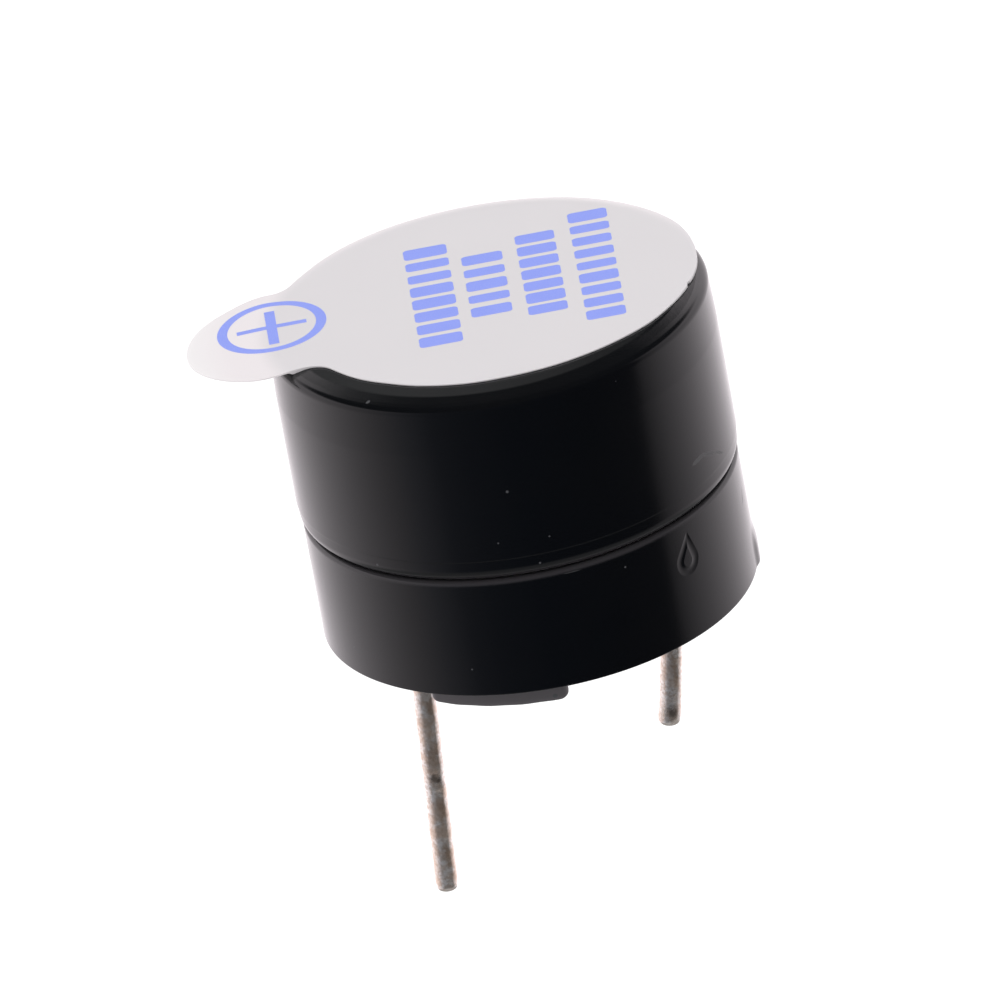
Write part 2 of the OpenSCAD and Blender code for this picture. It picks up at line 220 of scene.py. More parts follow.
window = calc(sky, "MULTIPLY", ramp(sky, facing(-90, 0), -0.035, 0.01),
              calc(sky, "MULTIPLY", ramp(sky, facing(180, 0), 0.3, 0.75),
                   ramp(sky, direction["Z"], 0.66, 0.54)))
above = calc(sky, "MULTIPLY_ADD", window, window_level, ceiling_level)
from_front = calc(sky, "ABSOLUTE", calc(sky, "SUBTRACT", share, 0.5))
at_back = ramp(sky, from_front, 0.474, 0.484, 0, 0.5)
ceiling_share = ramp(sky, calc(sky, "ADD", direction["Z"], at_back), 0.47, 0.63)
ground_share = ramp(sky, calc(sky, "MULTIPLY", direction["Z"], -1), 0.52, 0.75)
gloss = blend_colour(sky, ceiling_share, gloss, above)
gloss = blend_colour(sky, ground_share, gloss, (ground_level,) * 3)
print("ceiling", ceiling_level, "window", round(ceiling_level + window_level, 2), "ground",
      ground_level)

# %% What each kind of ray sees
plain_level = 0.99
ray = put(sky, "ShaderNodeLightPath").outputs
white_rays = calc(sky, "MAXIMUM", ray["Is Camera Ray"], ray["Is Transmission Ray"])
light = blend_colour(sky, ray["Is Glossy Ray"], (plain_level,) * 3, gloss)
light = blend_colour(sky, white_rays, light, (1, 1, 1))
put(sky, "ShaderNodeOutputWorld",
    {"Surface": put(sky, "ShaderNodeBackground", {"Color": light}).outputs[0]})
print("world:", len(sky.nodes), "nodes")

# %% Lamp
lamp_place, lamp_size, lamp_watts = Vector((-0.22, -0.12, 0.5)), 0.4, 0.34
lamp_data = bpy.data.lights.new("soft_lamp", "AREA")
lamp_data.shape, lamp_data.size, lamp_data.energy = "DISK", lamp_size, lamp_watts
lamp = bpy.data.objects.new("soft_lamp", lamp_data)
lamp.matrix_world = Matrix.Translation(lamp_place) @ (
    case_middle - lamp_place).to_track_quat("-Z", "Y").to_matrix().to_4x4()
lamp.visible_glossy = lamp.visible_camera = False
scene.collection.objects.link(lamp)
print("lamp", round(lamp_place.length, 2), "m away")

# %% Floor
floor_drop, floor_half, floor_glow = 20 * MM, 3, 0.72
grey_in_view, grey_elsewhere = (0.45, 0.45, 0.45, 1), (0.8, 0.8, 0.8, 1)
floor_mesh = bpy.data.meshes.new("floor")
floor_mesh.from_pydata([(x * floor_half, y * floor_half, -floor_drop)
                        for x, y in ((-1, -1), (1, -1), (1, 1), (-1, 1))], [], [(0, 1, 2, 3)])
floor = bpy.data.objects.new("floor", floor_mesh)
floor.visible_glossy = False
scene.collection.objects.link(floor)
floor_paint = bpy.data.materials.new("floor_paint")
floor_paint.use_nodes = True
tree = floor_paint.node_tree
tree.nodes.clear()
to_camera = put(tree, "ShaderNodeAddShader", {
    0: put(tree, "ShaderNodeEmission", {"Strength": floor_glow}).outputs[0],
    1: put(tree, "ShaderNodeBsdfDiffuse", {"Color": grey_in_view}).outputs[0]})
to_others = put(tree, "ShaderNodeBsdfDiffuse", {"Color": grey_elsewhere})
put(tree, "ShaderNodeOutputMaterial", {"Surface": put(tree, "ShaderNodeMixShader", {
    0: put(tree, "ShaderNodeLightPath").outputs["Is Camera Ray"],
    1: to_others.outputs[0], 2: to_camera.outputs[0]}).outputs[0]})
floor_mesh.materials.append(floor_paint)
print("floor", round(floor_drop / MM), "mm below the feet")

# %% [markdown]
# ## Marks and grain that several materials share
# A buzzer that has been handled is not evenly black: its plastic has specks of dust, a few fine
# scratches and a slightly uneven gloss. These could be painted on an image, but an image gets
# coarse close up. Each effect is a shader node group instead, so that the same group, with other
# values, also blotches the pins and the film. The first group puts one mark on the side of the
# case, at an angle round it and a height. The second makes two sizes of noise, and the third
# scatters dust.

# %% Mark on a round wall
def on_object(tree):
    """Where a point is, on the object's own coordinates."""
    return put(tree, "ShaderNodeTexCoord").outputs["Object"]


def distance(tree, a, b):
    """The long side over two sides at a right angle."""
    return calc(tree, "SQRT", calc(tree, "ADD", calc(tree, "MULTIPLY", a, a),
                                   calc(tree, "MULTIPLY", b, b)))


def mark_group():
    """One soft-edged speck or scratch on a wall round the Z axis."""
    tree, takes, gives = new_tree("wall_mark", "ShaderNodeTree", [
        ("Angle", "Float", 0.0), ("Height", "Float", 0.0), ("Length", "Float", 1e-4),
        ("Width", "Float", 1e-4), ("Turn", "Float", 0.0)], [("Mask", "Float")])
    place = xyz_of(tree, on_object(tree))
    angle = calc(tree, "WRAP", calc(tree, "SUBTRACT", calc(
        tree, "ARCTAN2", place["Y"], place["X"]), takes["Angle"]), pi, -pi)
    along = calc(tree, "MULTIPLY", angle, distance(tree, place["X"], place["Y"]))
    above = calc(tree, "SUBTRACT", place["Z"], takes["Height"])
    cosine, sine = calc(tree, "COSINE", takes["Turn"]), calc(tree, "SINE", takes["Turn"])
    u = calc(tree, "ADD", calc(tree, "MULTIPLY", along, cosine),
             calc(tree, "MULTIPLY", above, sine))
    v = calc(tree, "SUBTRACT", calc(tree, "MULTIPLY", above, cosine),
             calc(tree, "MULTIPLY", along, sine))
    reach = distance(tree, calc(tree, "DIVIDE", u, takes["Length"]),
                     calc(tree, "DIVIDE", v, takes["Width"]))
    tree.links.new(ramp(tree, reach, 0.35, 0.6, 1, 0), gives["Mask"])
    return tree


wall_mark = mark_group()
print(wall_mark.name, "has", len(wall_mark.nodes), "nodes")

# %% Grain
def grain_group():
    """Two sizes of noise on the object's own coordinates, one for patches and one for grain."""
    tree, takes, gives = new_tree("grain", "ShaderNodeTree", [
        ("Patch size", "Float", 1e-3), ("Grain size", "Float", 1e-4), ("Low", "Float", 0.3),
        ("High", "Float", 0.5), ("Seed", "Float", 0.0)],
        [("Patches", "Float"), ("Grain", "Float"), ("Roughness", "Float")])
    coarse, fine = (put(tree, "ShaderNodeTexNoise", {
        "Vector": on_object(tree), "W": takes["Seed"],
        "Scale": calc(tree, "DIVIDE", 1.0, takes[size]),
        "Detail": detail}, noise_dimensions="4D").outputs["Fac"]
        for size, detail in (("Patch size", 3.0), ("Grain size", 2.0)))
    patches = ramp(tree, coarse, 0.35, 0.65)
    tree.links.new(patches, gives["Patches"])
    tree.links.new(fine, gives["Grain"])
    spread = calc(tree, "SUBTRACT", takes["High"], takes["Low"])
    tree.links.new(calc(tree, "ADD", takes["Low"], calc(tree, "MULTIPLY", patches, spread)),
                   gives["Roughness"])
    return tree


grain = grain_group()
print(grain.name, "has", len(grain.nodes), "nodes")

# %% Dust
def dust_group():
    """Scattered round specks of mixed sizes, from the cells of a Voronoi pattern."""
    tree, takes, gives = new_tree("dust", "ShaderNodeTree", [
        ("Spacing", "Float", 1e-3), ("Share", "Float", 0.3), ("Size", "Float", 0.1)],
        [("Mask", "Float")])
    cells = put(tree, "ShaderNodeTexVoronoi", {
        "Vector": on_object(tree),
        "Scale": calc(tree, "DIVIDE", 1.0, takes["Spacing"])}).outputs
    chance = put(tree, "ShaderNodeSeparateColor", {0: cells["Color"]}).outputs
    size = calc(tree, "MULTIPLY", takes["Size"], chance["Green"])
    speck = calc(tree, "LESS_THAN", cells["Distance"], size)
    tree.links.new(calc(tree, "MULTIPLY", speck, calc(tree, "LESS_THAN", chance["Red"],
                                                      takes["Share"])), gives["Mask"])
    return tree


dust = dust_group()
print(dust.name, "has", len(dust.nodes), "nodes")

# %% [markdown]
# ## Black case plastic
# Both halves of the case are moulded in the same glossy black plastic. The colour is nearly
# black with a touch of blue. The gloss is clear enough to mirror the room, with a slight
# unevenness of the mould. The stand-off zone under the rim is duller, because nobody polishes the
# bottom of a mould, and its colour is painted lighter: painted light that lifts the shade under
# the rim. A lighter grey band round the seam is a painted highlight over its shaded groove.
# Specks of dust and scratches are mixed in as lighter, rougher spots: cut into the mesh, they
# would need far more faces and look no different. Colour, roughness and a fine relief are joined
# to the shader in the same way in every finish, so helpers for materials come first.

# %% Helpers for materials
def new_material(name):
    """A material with an empty Principled shader, its tree and its shader."""
    material = bpy.data.materials.new(name)
    material.use_nodes = True
    tree = material.node_tree
    tree.nodes.clear()
    shader = put(tree, "ShaderNodeBsdfPrincipled")
    put(tree, "ShaderNodeOutputMaterial", {"Surface": shader.outputs[0]})
    return material, tree, shader


def group(tree, inner, **values):
    """Places a shader group with the given inputs. Returns its outputs."""
    return put(tree, "ShaderNodeGroup", {k.replace("_", " ").capitalize(): v
                                         for k, v in values.items()}, node_tree=inner).outputs


def strongest(tree, masks):
    """The largest of several masks."""
    best = masks[0]
    for mask in masks[1:]:
        best = calc(tree, "MAXIMUM", best, mask)
    return best


def joined_up(tree, shader, colour, rough, height, relief, depth=0.02):
    """Joins colour, roughness and a relief of this strength and depth in mm to the shader."""
    tree.links.new(colour, shader.inputs["Base Color"])
    tree.links.new(rough, shader.inputs["Roughness"])
    bump = put(tree, "ShaderNodeBump", {"Strength": relief, "Distance": depth * MM,
                                        "Height": height})
    tree.links.new(bump.outputs[0], shader.inputs["Normal"])


print("helpers:", *(f.__name__ for f in (new_material, group, strongest, joined_up)))

# %% Case plastic
seam_z, foot_h = 4.24, 0.8
# The grey of the seam is a painted highlight over its shaded groove.
moulded_black, painted_seam_highlight_grey = (0.0022, 0.0026, 0.0036), (0.03, 0.028, 0.031)
# The dull black under the rim is painted lighter than the moulded black: painted light that lifts
# the shade there, where the plastic is also duller.
painted_fill_dull_black, scratch_grey = (0.08, 0.073, 0.08), (0.045, 0.045, 0.048)
dust_grey = (0.06, 0.062, 0.068)


def black_plastic(name, specks, scratches):
    """Glossy black, with painted light under the rim and a painted highlight round the seam.
    specks and scratches are (angle, height, length, width, turn).
    """
    material, tree, shader = new_material(name)
    uneven = group(tree, grain, patch_size=1.6 * MM, grain_size=0.12 * MM, low=0.11, high=0.16)
    height = xyz_of(tree, on_object(tree))["Z"]
    below = ramp(tree, height, (foot_h - 0.02) * MM, (foot_h + 0.04) * MM, 1, 0)

    def marks_of(places):
        """A mask for each mark."""
        return [group(tree, wall_mark, angle=radians(a), height=z * MM, length=length * MM,
                      width=width * MM, turn=radians(turn))["Mask"]
                for a, z, length, width, turn in places]

    marks = marks_of(specks)
    marks.append(calc(tree, "MULTIPLY", 0.5, group(
        tree, dust, spacing=0.9 * MM, share=0.35, size=0.045)["Mask"]))
    dirt = strongest(tree, marks)
    seam_highlight_band = calc(tree, "MULTIPLY",
                   ramp(tree, height, (seam_z + 0.25) * MM, (seam_z + 0.06) * MM),
                   ramp(tree, height, (seam_z - 0.16) * MM, (seam_z - 0.06) * MM))
    scratch = strongest(tree, marks_of(scratches))
    # Painted light: under the rim the colour is painted lighter, lifting the shade there.
    colour = blend_colour(tree, below, moulded_black, painted_fill_dull_black)
    # Painted highlight: a lighter grey band over the shaded seam.
    colour = blend_colour(tree, seam_highlight_band, colour, painted_seam_highlight_grey)
    colour = blend_colour(tree, scratch, colour, scratch_grey)
    colour = blend_colour(tree, dirt, colour, dust_grey)
    rough = calc(tree, "MULTIPLY_ADD", below, 0.35, uneven["Roughness"])
    rough = calc(tree, "MULTIPLY_ADD", strongest(tree, [dirt, scratch]), 0.3, rough)
    joined_up(tree, shader, colour, rough, uneven["Grain"], 0.02)
    shader.inputs["IOR"].default_value = 1.5
    return material


print("seam at", seam_z, "mm, rim at", foot_h, "mm")

# %% Specks and scratches of each half
upper_black = black_plastic(
    "upper_black", [(a, z, size, size, 0) for a, z, size in (
        (-154.1, 4.6, 0.07), (-113.7, 6.86, 0.08), (-118.4, 5.38, 0.05), (-108.8, 4.6, 0.06),
        (-105.2, 5.33, 0.05))] + [(-149, 9.475, 0.1, 0.025, 0)],
    [(-57, 5.6, 0.6, 0.14, 5), (-52, 5.5, 0.8, 0.13, -22), (-46.5, 5.24, 0.6, 0.1, -30)])
lower_black = black_plastic(
    "lower_black", [(a, z, size, size, 0) for a, z, size in (
        (-171.1, 1.63, 0.06), (-131.6, 1.62, 0.05), (-86.7, 3.75, 0.06), (-111.4, 0.2, 0.14))],
    [(-32.3, 3.12, 0.5, 0.06, 55), (-101, 4.1, 0.5, 0.02, 0)])
print("case plastic:", upper_black.name, lower_black.name)

# %% [markdown]
# ## The two halves of the case
# Each half is a turned shape: a section that goes once round the axis. A Spin would do, or a
# Screw modifier, but a Geometry Nodes tree that sweeps the section along a circle keeps the
# number of steps as an input and can be used for both halves. A moulding has no sharp edge, so
# every corner of the section is an arc. A short straight stretch on both sides of each arc keeps
# the shading of the long walls flat right up to it. The top isn't flat: from its middle it falls
# a little towards the rim, as a thin moulded top does when it cools. The upper half is drawn in
# by a hair above the seam, where the two halves lap.

# %% Rounded sections
def rounded(corners, steps=7, hold=0.02):
    """A section in mm. Each corner is (radius, height, rounding); 0 leaves it sharp."""
    points = []
    count = len(corners)
    for i, (x, y, rounding) in enumerate(corners):
        here = Vector((x, y))
        if not rounding:
            points.append(here)
            continue
        before = (Vector(corners[i - 1][:2]) - here).normalized()
        after = (Vector(corners[(i + 1) % count][:2]) - here).normalized()
        half = before.angle(after) / 2
        middle = here + (before + after).normalized() * rounding / sin(half)
        start, end = (here + way * rounding / tan(half) for way in (before, after))
        points.append(start + before * hold)
        for k in range(steps + 1):
            turn = k / steps
            sweep_angle = pi - 2 * half
            a, b = sin((1 - turn) * sweep_angle), sin(turn * sweep_angle)
            points.append(middle + ((start - middle) * a + (end - middle) * b) / sin(sweep_angle))
        points.append(end + after * hold)
    return points


print("helper:", rounded.__name__)

# %% A section as a mesh
def section_mesh(name, points, closed):
    """The section as a chain of edges, in metres, with X as the radius and Y as the height."""
    mesh = bpy.data.meshes.new(name)
    chain = [(i, i + 1) for i in range(len(points) - 1)]
    if closed:
        chain.append((len(points) - 1, 0))
    mesh.from_pydata([(x * MM, y * MM, 0) for x, y in points], chain, [])
    return mesh


case_lo, case_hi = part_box("upper_case")
case_r, case_h = min(case_hi.x, -case_lo.y) / MM, case_hi.z / MM
lower_r = case_r - 0.08
print("case radius", round(case_r, 2), "and", round(lower_r, 2), "height", round(case_h, 2))

# %% A tree that turns a section
def end_tree(tree, shape, takes, gives):
    """Ends a Geometry Nodes tree: real faces in place of instances, with their finish."""
    shape = put(tree, "GeometryNodeRealizeInstances", {0: shape.outputs[0]})
    shape = put(tree, "GeometryNodeSetMaterial", {"Geometry": shape.outputs[0],
                                                  "Material": takes["Finish"]})
    tree.links.new(shape.outputs[0], gives["Shape"])
    return tree


def turning_tree():
    """Turns a section once round the Z axis."""
    tree, takes, gives = new_tree("turn_section", "GeometryNodeTree", [
        ("Section", "Geometry"), ("Steps", "Int", 64), ("Finish", "Material")],
        [("Shape", "Geometry")])
    flat = put(tree, "GeometryNodeTransform", {
        "Geometry": takes["Section"], "Translation": (-MM, 0, 0)})
    upright = put(tree, "GeometryNodeTransform", {
        "Geometry": flat.outputs[0], "Scale": (1, -1, 1)})
    circle = put(tree, "GeometryNodeCurvePrimitiveCircle", {
        "Resolution": takes["Steps"], "Radius": MM})
    level_circle = put(tree, "GeometryNodeSetCurveNormal", {0: circle.outputs[0]}, mode="Z_UP")
    shape = put(tree, "GeometryNodeCurveToMesh", {
        "Curve": level_circle.outputs[0],
        "Profile Curve": put(tree, "GeometryNodeMeshToCurve", {0: upright.outputs[0]}).outputs[0]})
    shape = put(tree, "GeometryNodeMergeByDistance", {"Geometry": shape.outputs[0],
                                                      "Distance": 1e-7})
    shape = put(tree, "GeometryNodeFlipFaces", {0: shape.outputs[0]})
    return end_tree(tree, shape, takes, gives)


turn_section = turning_tree()
print(turn_section.name, "has", len(turn_section.nodes), "nodes")

# %% Run a tree and measure its result
def grown(name, tree, values, start=None):
    """Runs a Geometry Nodes tree with these inputs, and keeps the result as a plain mesh."""
    seed = bpy.data.objects.new("seed", start or bpy.data.meshes.new("seed"))
    scene.collection.objects.link(seed)
    modifier = seed.modifiers.new("grow", "NODES")
    modifier.node_group = tree
    for item in tree.interface.items_tree:
        if item.item_type == "SOCKET" and item.in_out == "INPUT" and item.name in values:
            modifier[item.identifier] = values[item.name]
    result = bpy.data.meshes.new_from_object(
        seed.evaluated_get(bpy.context.evaluated_depsgraph_get()))
    seed.modifiers.clear()
    bpy.data.objects.remove(seed)
    piece = bpy.data.objects.new(name, result)
    scene.collection.objects.link(piece)
    return piece


def report_mesh(piece):
    """Prints the size of a mesh, its volume, and how many of its edges are not closed."""
    mesh = bmesh.new()
    mesh.from_mesh(piece.data)
    volume, edges = mesh.calc_volume(signed=True), sum(not e.is_manifold for e in mesh.edges)
    triangles = sum(len(f.verts) - 2 for f in mesh.faces)
    mesh.free()
    print(piece.name, triangles, "triangles,", round(volume / MM ** 3, 2), "mm3, open edges",
          edges)


print("helpers:", grown.__name__, report_mesh.__name__)

# %% Upper half
hole_r, tube_r, tube_z = 1, 1.7, case_h - 1.8
inside_r, inside_z, mouth_r = case_r - 0.65, case_h - 0.8, case_r - 0.55
step_z, step_in, rim_round = 4.85, 0.03, 0.35
taper_z, shoulder_in, shoulder_fall, shoulder_round = 8.1, 0.045, 0.11, 0.21
crown_z = case_h + 0.045
crown = [(5.65, 0.06, 0.3), (5.3, 0.01, 1), (4.9, 0, 1)]  # (radius, fall, rounding)
upper_section = rounded([
    (hole_r, tube_z, 0.05), (tube_r, tube_z, 0.1), (tube_r, inside_z, 0.15),
    (inside_r, inside_z, 0.3), (inside_r, seam_z + 0.1, 0.02),
    (mouth_r, seam_z, 0.02), (case_r - step_in, seam_z, rim_round),
    (case_r - step_in, step_z, 0.01), (case_r, step_z + step_in, 0.01),
    (case_r, taper_z, 2), (case_r - shoulder_in, crown_z - shoulder_fall, shoulder_round),
    *((r, crown_z - fall, rounding) for r, fall, rounding in crown), (hole_r, crown_z, 0.08)])
upper_shell = grown("upper_shell", turn_section, {"Steps": 384, "Finish": upper_black},
                    section_mesh("upper_section", upper_section, closed=True))
report_mesh(upper_shell)

# %% Lower half
pocket_r, pocket_z, lip_round = 4.3, 1.1, 0.12
spigot_r, spigot_z, stack_r = case_r - 0.67, 6.9, 4.95
ledge_r, ledge_z, floor_z = 4.5, 2.9, 1.7
# Rows of points low on the wall, where the stub will be pushed out
wall_rows = [(lower_r, z, 0) for z in (*np.arange(0.9, 2.1, 0.07), 2.3, 2.55, 3.85)]
lower_section = rounded([
    (pocket_r, pocket_z, 0.05), (pocket_r, foot_h, 0.04), (lower_r, foot_h, 0.05), *wall_rows,
    (lower_r, seam_z, lip_round),
    (spigot_r, seam_z, 0.04), (spigot_r, spigot_z, 0.1), (stack_r, spigot_z, 0.03),
    (stack_r, ledge_z, 0.03), (ledge_r, ledge_z, 0.03), (ledge_r, floor_z, 0.1)])
lower_section = [Vector((0, pocket_z)), *lower_section, Vector((0, floor_z))]
lower_shell = grown("lower_shell", turn_section, {"Steps": 384, "Finish": lower_black},
                    section_mesh("lower_section", lower_section, closed=False))
report_mesh(lower_shell)

# %% [markdown]
# ## Feet, mould marks and the holes for the pins
# Three feet keep the case off the circuit board, so that washing water can drain. They are one
# shape repeated round the axis, which is a job for instances on points. A boolean union joins
# them to the turned shape, because a moulding is one solid. The two mould marks are worn and
# soft: the stub where the mould was filled is pushed out of the wall itself, and the outline of
# the drop-shaped mark is a shallow groove, which a boolean difference cuts, as it does the holes.

# %% Closed loops, joined into a mesh
def lofted(name, loops, ring=False):
    """Joins loops of equally many points into a closed mesh. ring joins the last to the first."""
    count, many = len(loops[0]), len(loops)
    faces = [(i * count + k, i * count + (k + 1) % count,
              (i + 1) % many * count + (k + 1) % count, (i + 1) % many * count + k)
             for i in range(many if ring else many - 1) for k in range(count)]
    if not ring:
        faces += [tuple(reversed(range(count))), tuple(range((many - 1) * count, many * count))]
    mesh = bpy.data.meshes.new(name)
    mesh.from_pydata([tuple(c * MM for c in p) for loop in loops for p in loop], [], faces)
    shape = bmesh.new()
    shape.from_mesh(mesh)
    bmesh.ops.recalc_face_normals(shape, faces=shape.faces)
    shape.to_mesh(mesh)
    shape.free()
    return mesh


def finer(points, step):
    """Adds points on the sides of a closed outline, so that none is longer than step."""
    result = []
    for i, here in enumerate(points):
        there = points[(i + 1) % len(points)]
        parts = max(1, round((there - here).length / step))
        result += [here.lerp(there, k / parts) for k in range(parts)]
    return result


print("helpers:", lofted.__name__, finer.__name__)

# %% Shape of one foot
foot_in_r, foot_out_r, foot_half, foot_azimuth = 4.4, 5.12, 22.9, 230.2
foot_corner, foot_edge, unevenness = 0.27, 0.2, 0.006
foot_mid_r = (foot_in_r + foot_out_r) / 2
foot_reach = radians(foot_half) * foot_mid_r


def foot_loop(inset, height):
    """A rounded rectangle, wrapped round the axis of the case."""
    x, low, high = foot_reach - inset, foot_in_r + inset, foot_out_r - inset
    corner = foot_corner - inset
    outline = finer(rounded([(-x, low, corner), (x, low, corner), (x, high, corner),
                             (-x, high, corner)], steps=6), 0.16)
    return [(r * cos(along / foot_mid_r), r * sin(along / foot_mid_r),
             height + unevenness * sin(7 * along) * (inset > 0)) for along, r in outline]


foot_mesh = lofted("foot", [foot_loop(foot_edge * (1 - sin(t)), foot_edge * (1 - cos(t)))
                            for t in (radians(15 * k) for k in range(7))]
                   + [foot_loop(0, foot_h + 0.15)])
print("foot:", len(foot_mesh.polygons), "faces")

# %% The feet, repeated round the axis
def round_the_axis_tree():
    """Repeats a part at equal angles round the Z axis."""
    tree, takes, gives = new_tree("round_the_axis", "GeometryNodeTree", [
        ("Part", "Geometry"), ("Count", "Int", 3), ("First angle", "Float", 0.0),
        ("Finish", "Material")], [("Shape", "Geometry")])
    index = put(tree, "GeometryNodeInputIndex").outputs[0]
    turn = calc(tree, "ADD", takes["First angle"],
                calc(tree, "MULTIPLY", index, calc(tree, "DIVIDE", 2 * pi, takes["Count"])))
    parts = put(tree, "GeometryNodeInstanceOnPoints", {
        "Points": put(tree, "GeometryNodePoints", {"Count": takes["Count"]}).outputs[0],
        "Instance": takes["Part"], "Rotation": vector_of(tree, z=turn)})
    return end_tree(tree, parts, takes, gives)


feet = grown("feet", round_the_axis_tree(), {
    "Count": 3, "First angle": radians(foot_azimuth), "Finish": lower_black}, foot_mesh)
report_mesh(feet)

# %% Stub where the mould was filled
stub_azimuth, stub_out, outside_r = radians(-23), 0.075, 5.6
stub_side, stub_flat_side, stub_top, stub_flat_top = 0.75, 0.3, 1.95, 1.2
push = np.empty(len(lower_shell.data.vertices) * 3)
lower_shell.data.vertices.foreach_get("co", push)
push = push.reshape(-1, 3)


def soft_step(value, low, high):
    """0 at low, 1 at high, with a soft start and end. It also runs down, if high is lower."""
    share = np.clip((value - low) / (high - low), 0, 1)
    return share * share * (3 - 2 * share)


reach = np.hypot(push[:, 0], push[:, 1])
aside = np.abs((np.arctan2(push[:, 1], push[:, 0]) - stub_azimuth) * lower_r)
bump = (stub_out * soft_step(aside, stub_side, stub_flat_side)
        * soft_step(push[:, 2] / MM, stub_top, stub_flat_top) * (reach > outside_r * MM))
push[:, :2] *= (1 + bump * MM / reach.clip(1e-6))[:, None]
lower_shell.data.vertices.foreach_set("co", push.ravel())
print("stub pushed out of", int((bump > 0).sum()), "points")

# %% Drop-shaped groove
drop_azimuth, drop_z, drop_turn = radians(-67.1), 3.05, radians(9)
# (radius of the drop's round end, distance to its point, how far it stands out)
groove = [(0.15, 0.38, 0.1), (0.16, 0.4, -0.001), (0.19, 0.46, -0.007), (0.225, 0.53, -0.013),
          (0.265, 0.6, -0.0165), (0.31, 0.67, -0.0165), (0.35, 0.74, -0.012),
          (0.39, 0.8, -0.006), (0.42, 0.84, -0.001), (0.43, 0.85, 0.1)]


def drop_loop(radius, point, depth):
    """A drop with its point upwards, wrapped on the wall, and leaning a little."""
    start = degrees(asin(radius / point))
    outline = [Vector((radius * cos(radians(a)), radius * sin(radians(a))))
               for a in np.linspace(180 - start, 360 + start, 25)]
    tip = Vector((0, point))
    outline += [outline[-1].lerp(tip, k / 8) for k in range(1, 9)]
    outline += [tip.lerp(outline[0], k / 8) for k in range(1, 8)]
    out = lower_r + depth
    return [(out * cos(drop_azimuth + x / lower_r), out * sin(drop_azimuth + x / lower_r),
             drop_z + z) for x, z in (p @ Matrix.Rotation(drop_turn, 2) for p in outline)]


drop_mesh = lofted("drop", [drop_loop(*values) for values in groove], ring=True)
print("groove:", len(drop_mesh.polygons), "faces")

# %% Join the feet, cut the groove and the holes
def joined(piece, other, operation):
    """Joins or cuts piece with other, which is then gone, and keeps a plain mesh."""
    modifier = piece.modifiers.new("join", "BOOLEAN")
    modifier.operation, modifier.object, modifier.solver = operation, other, "MANIFOLD"
    result = bpy.data.meshes.new_from_object(
        piece.evaluated_get(bpy.context.evaluated_depsgraph_get()))
    piece.modifiers.clear()
    piece.data = result
    bpy.data.objects.remove(other)


def part(name, mesh):
    """Puts a mesh in the scene as an object."""
    made = bpy.data.objects.new(name, mesh)
    scene.collection.objects.link(made)
    return made


joined(lower_shell, feet, "UNION")
joined(lower_shell, part("drop", drop_mesh), "DIFFERENCE")

pin_shift, half_pitch, pin_hole_r = 0.07, 3.8, 0.33
pin_places = (pin_shift - half_pitch, pin_shift + half_pitch)
for x in pin_places:
    hole = [(x + pin_hole_r * cos(t), pin_hole_r * sin(t))
            for t in np.linspace(0, 2 * pi, 49)[:-1]]
    joined(lower_shell, part("hole", lofted("hole", [
        [(*p, z) for p in hole] for z in (pocket_z - 0.2, floor_z + 0.2)])), "DIFFERENCE")
report_mesh(lower_shell)

# %% [markdown]
# ## The wash seal
# The seal keeps washing water out of the sound hole. It is die-cut from thin white film: a disc
# with a pull tab, and small fillets in the corners between them. Pulling has stretched one side
# of the neck, and the cutter left small waves and a nick in the edge. It is stuck on off centre,
# so it overhangs the back of the case, where it bends down a little. A filled curve would give
# the outline, but its one flat face can't bend. The outline can be seen from its middle in every
# direction, so loops from the middle to the edge cover it with faces small enough to bend. The
# bend is one rule for the height of the film at any place. Under the edge, a fillet of glue
# reaches down to the sloping crown.

# %% Outline
seal_r, tab_r, tab_reach, neck_r = 5.64, 2.42, 5.909, 0.8
seal_azimuth, seal_x, seal_y = radians(166.8), 0.44, 0.87
neck_x, neck_y = sqrt((seal_r + neck_r) ** 2 - (tab_r + neck_r) ** 2), tab_r + neck_r


def seal_edge(angle):
    """Distance from the middle of the disc to the edge. The angle starts at the tab."""
    angle = abs(angle)
    if angle > atan2(neck_y, neck_x):
        return seal_r
    if angle > atan2(tab_r, neck_x):
        ahead = neck_x * cos(angle) + neck_y * sin(angle)
        return ahead - sqrt(ahead ** 2 - neck_x ** 2 - neck_y ** 2 + neck_r ** 2)
    if angle > atan2(tab_r, tab_reach):
        return tab_r / sin(angle)
    return tab_reach * cos(angle) + sqrt(tab_r ** 2 - (tab_reach * sin(angle)) ** 2)


print("tab reaches", round(seal_edge(0), 2), "mm, disc", seal_r, "mm")

# %% Even points along the outline
fine = np.linspace(-pi, pi, 24001)
reach = np.array([seal_edge(a) for a in fine])
outline = np.stack([reach * np.cos(fine), reach * np.sin(fine)], 1)
walked = np.concatenate([[0], np.cumsum(np.linalg.norm(np.diff(outline, axis=0), axis=1))])
columns = 560
even = np.linspace(0, walked[-1], columns + 1)[:-1]
outline = np.stack([np.interp(even, walked, outline[:, k]) for k in (0, 1)], 1)
print("outline", round(walked[-1], 1), "mm long, a point every",
      round(walked[-1] / columns, 3), "mm")

# %% Pulled neck and cut marks along the edge
neck_pull = 0.2
outline[:, 1] -= neck_pull * (soft_step(outline[:, 0], 4.2, 5.1)
                              * (1 - soft_step(outline[:, 0], 5.6, 7.1)))
edge_turn = np.arctan2(outline[:, 1], outline[:, 0])
outline *= (0.9985 + 0.0006 * np.sin(9 * edge_turn + 1) + 0.0004 * np.sin(23 * edge_turn))[:, None]
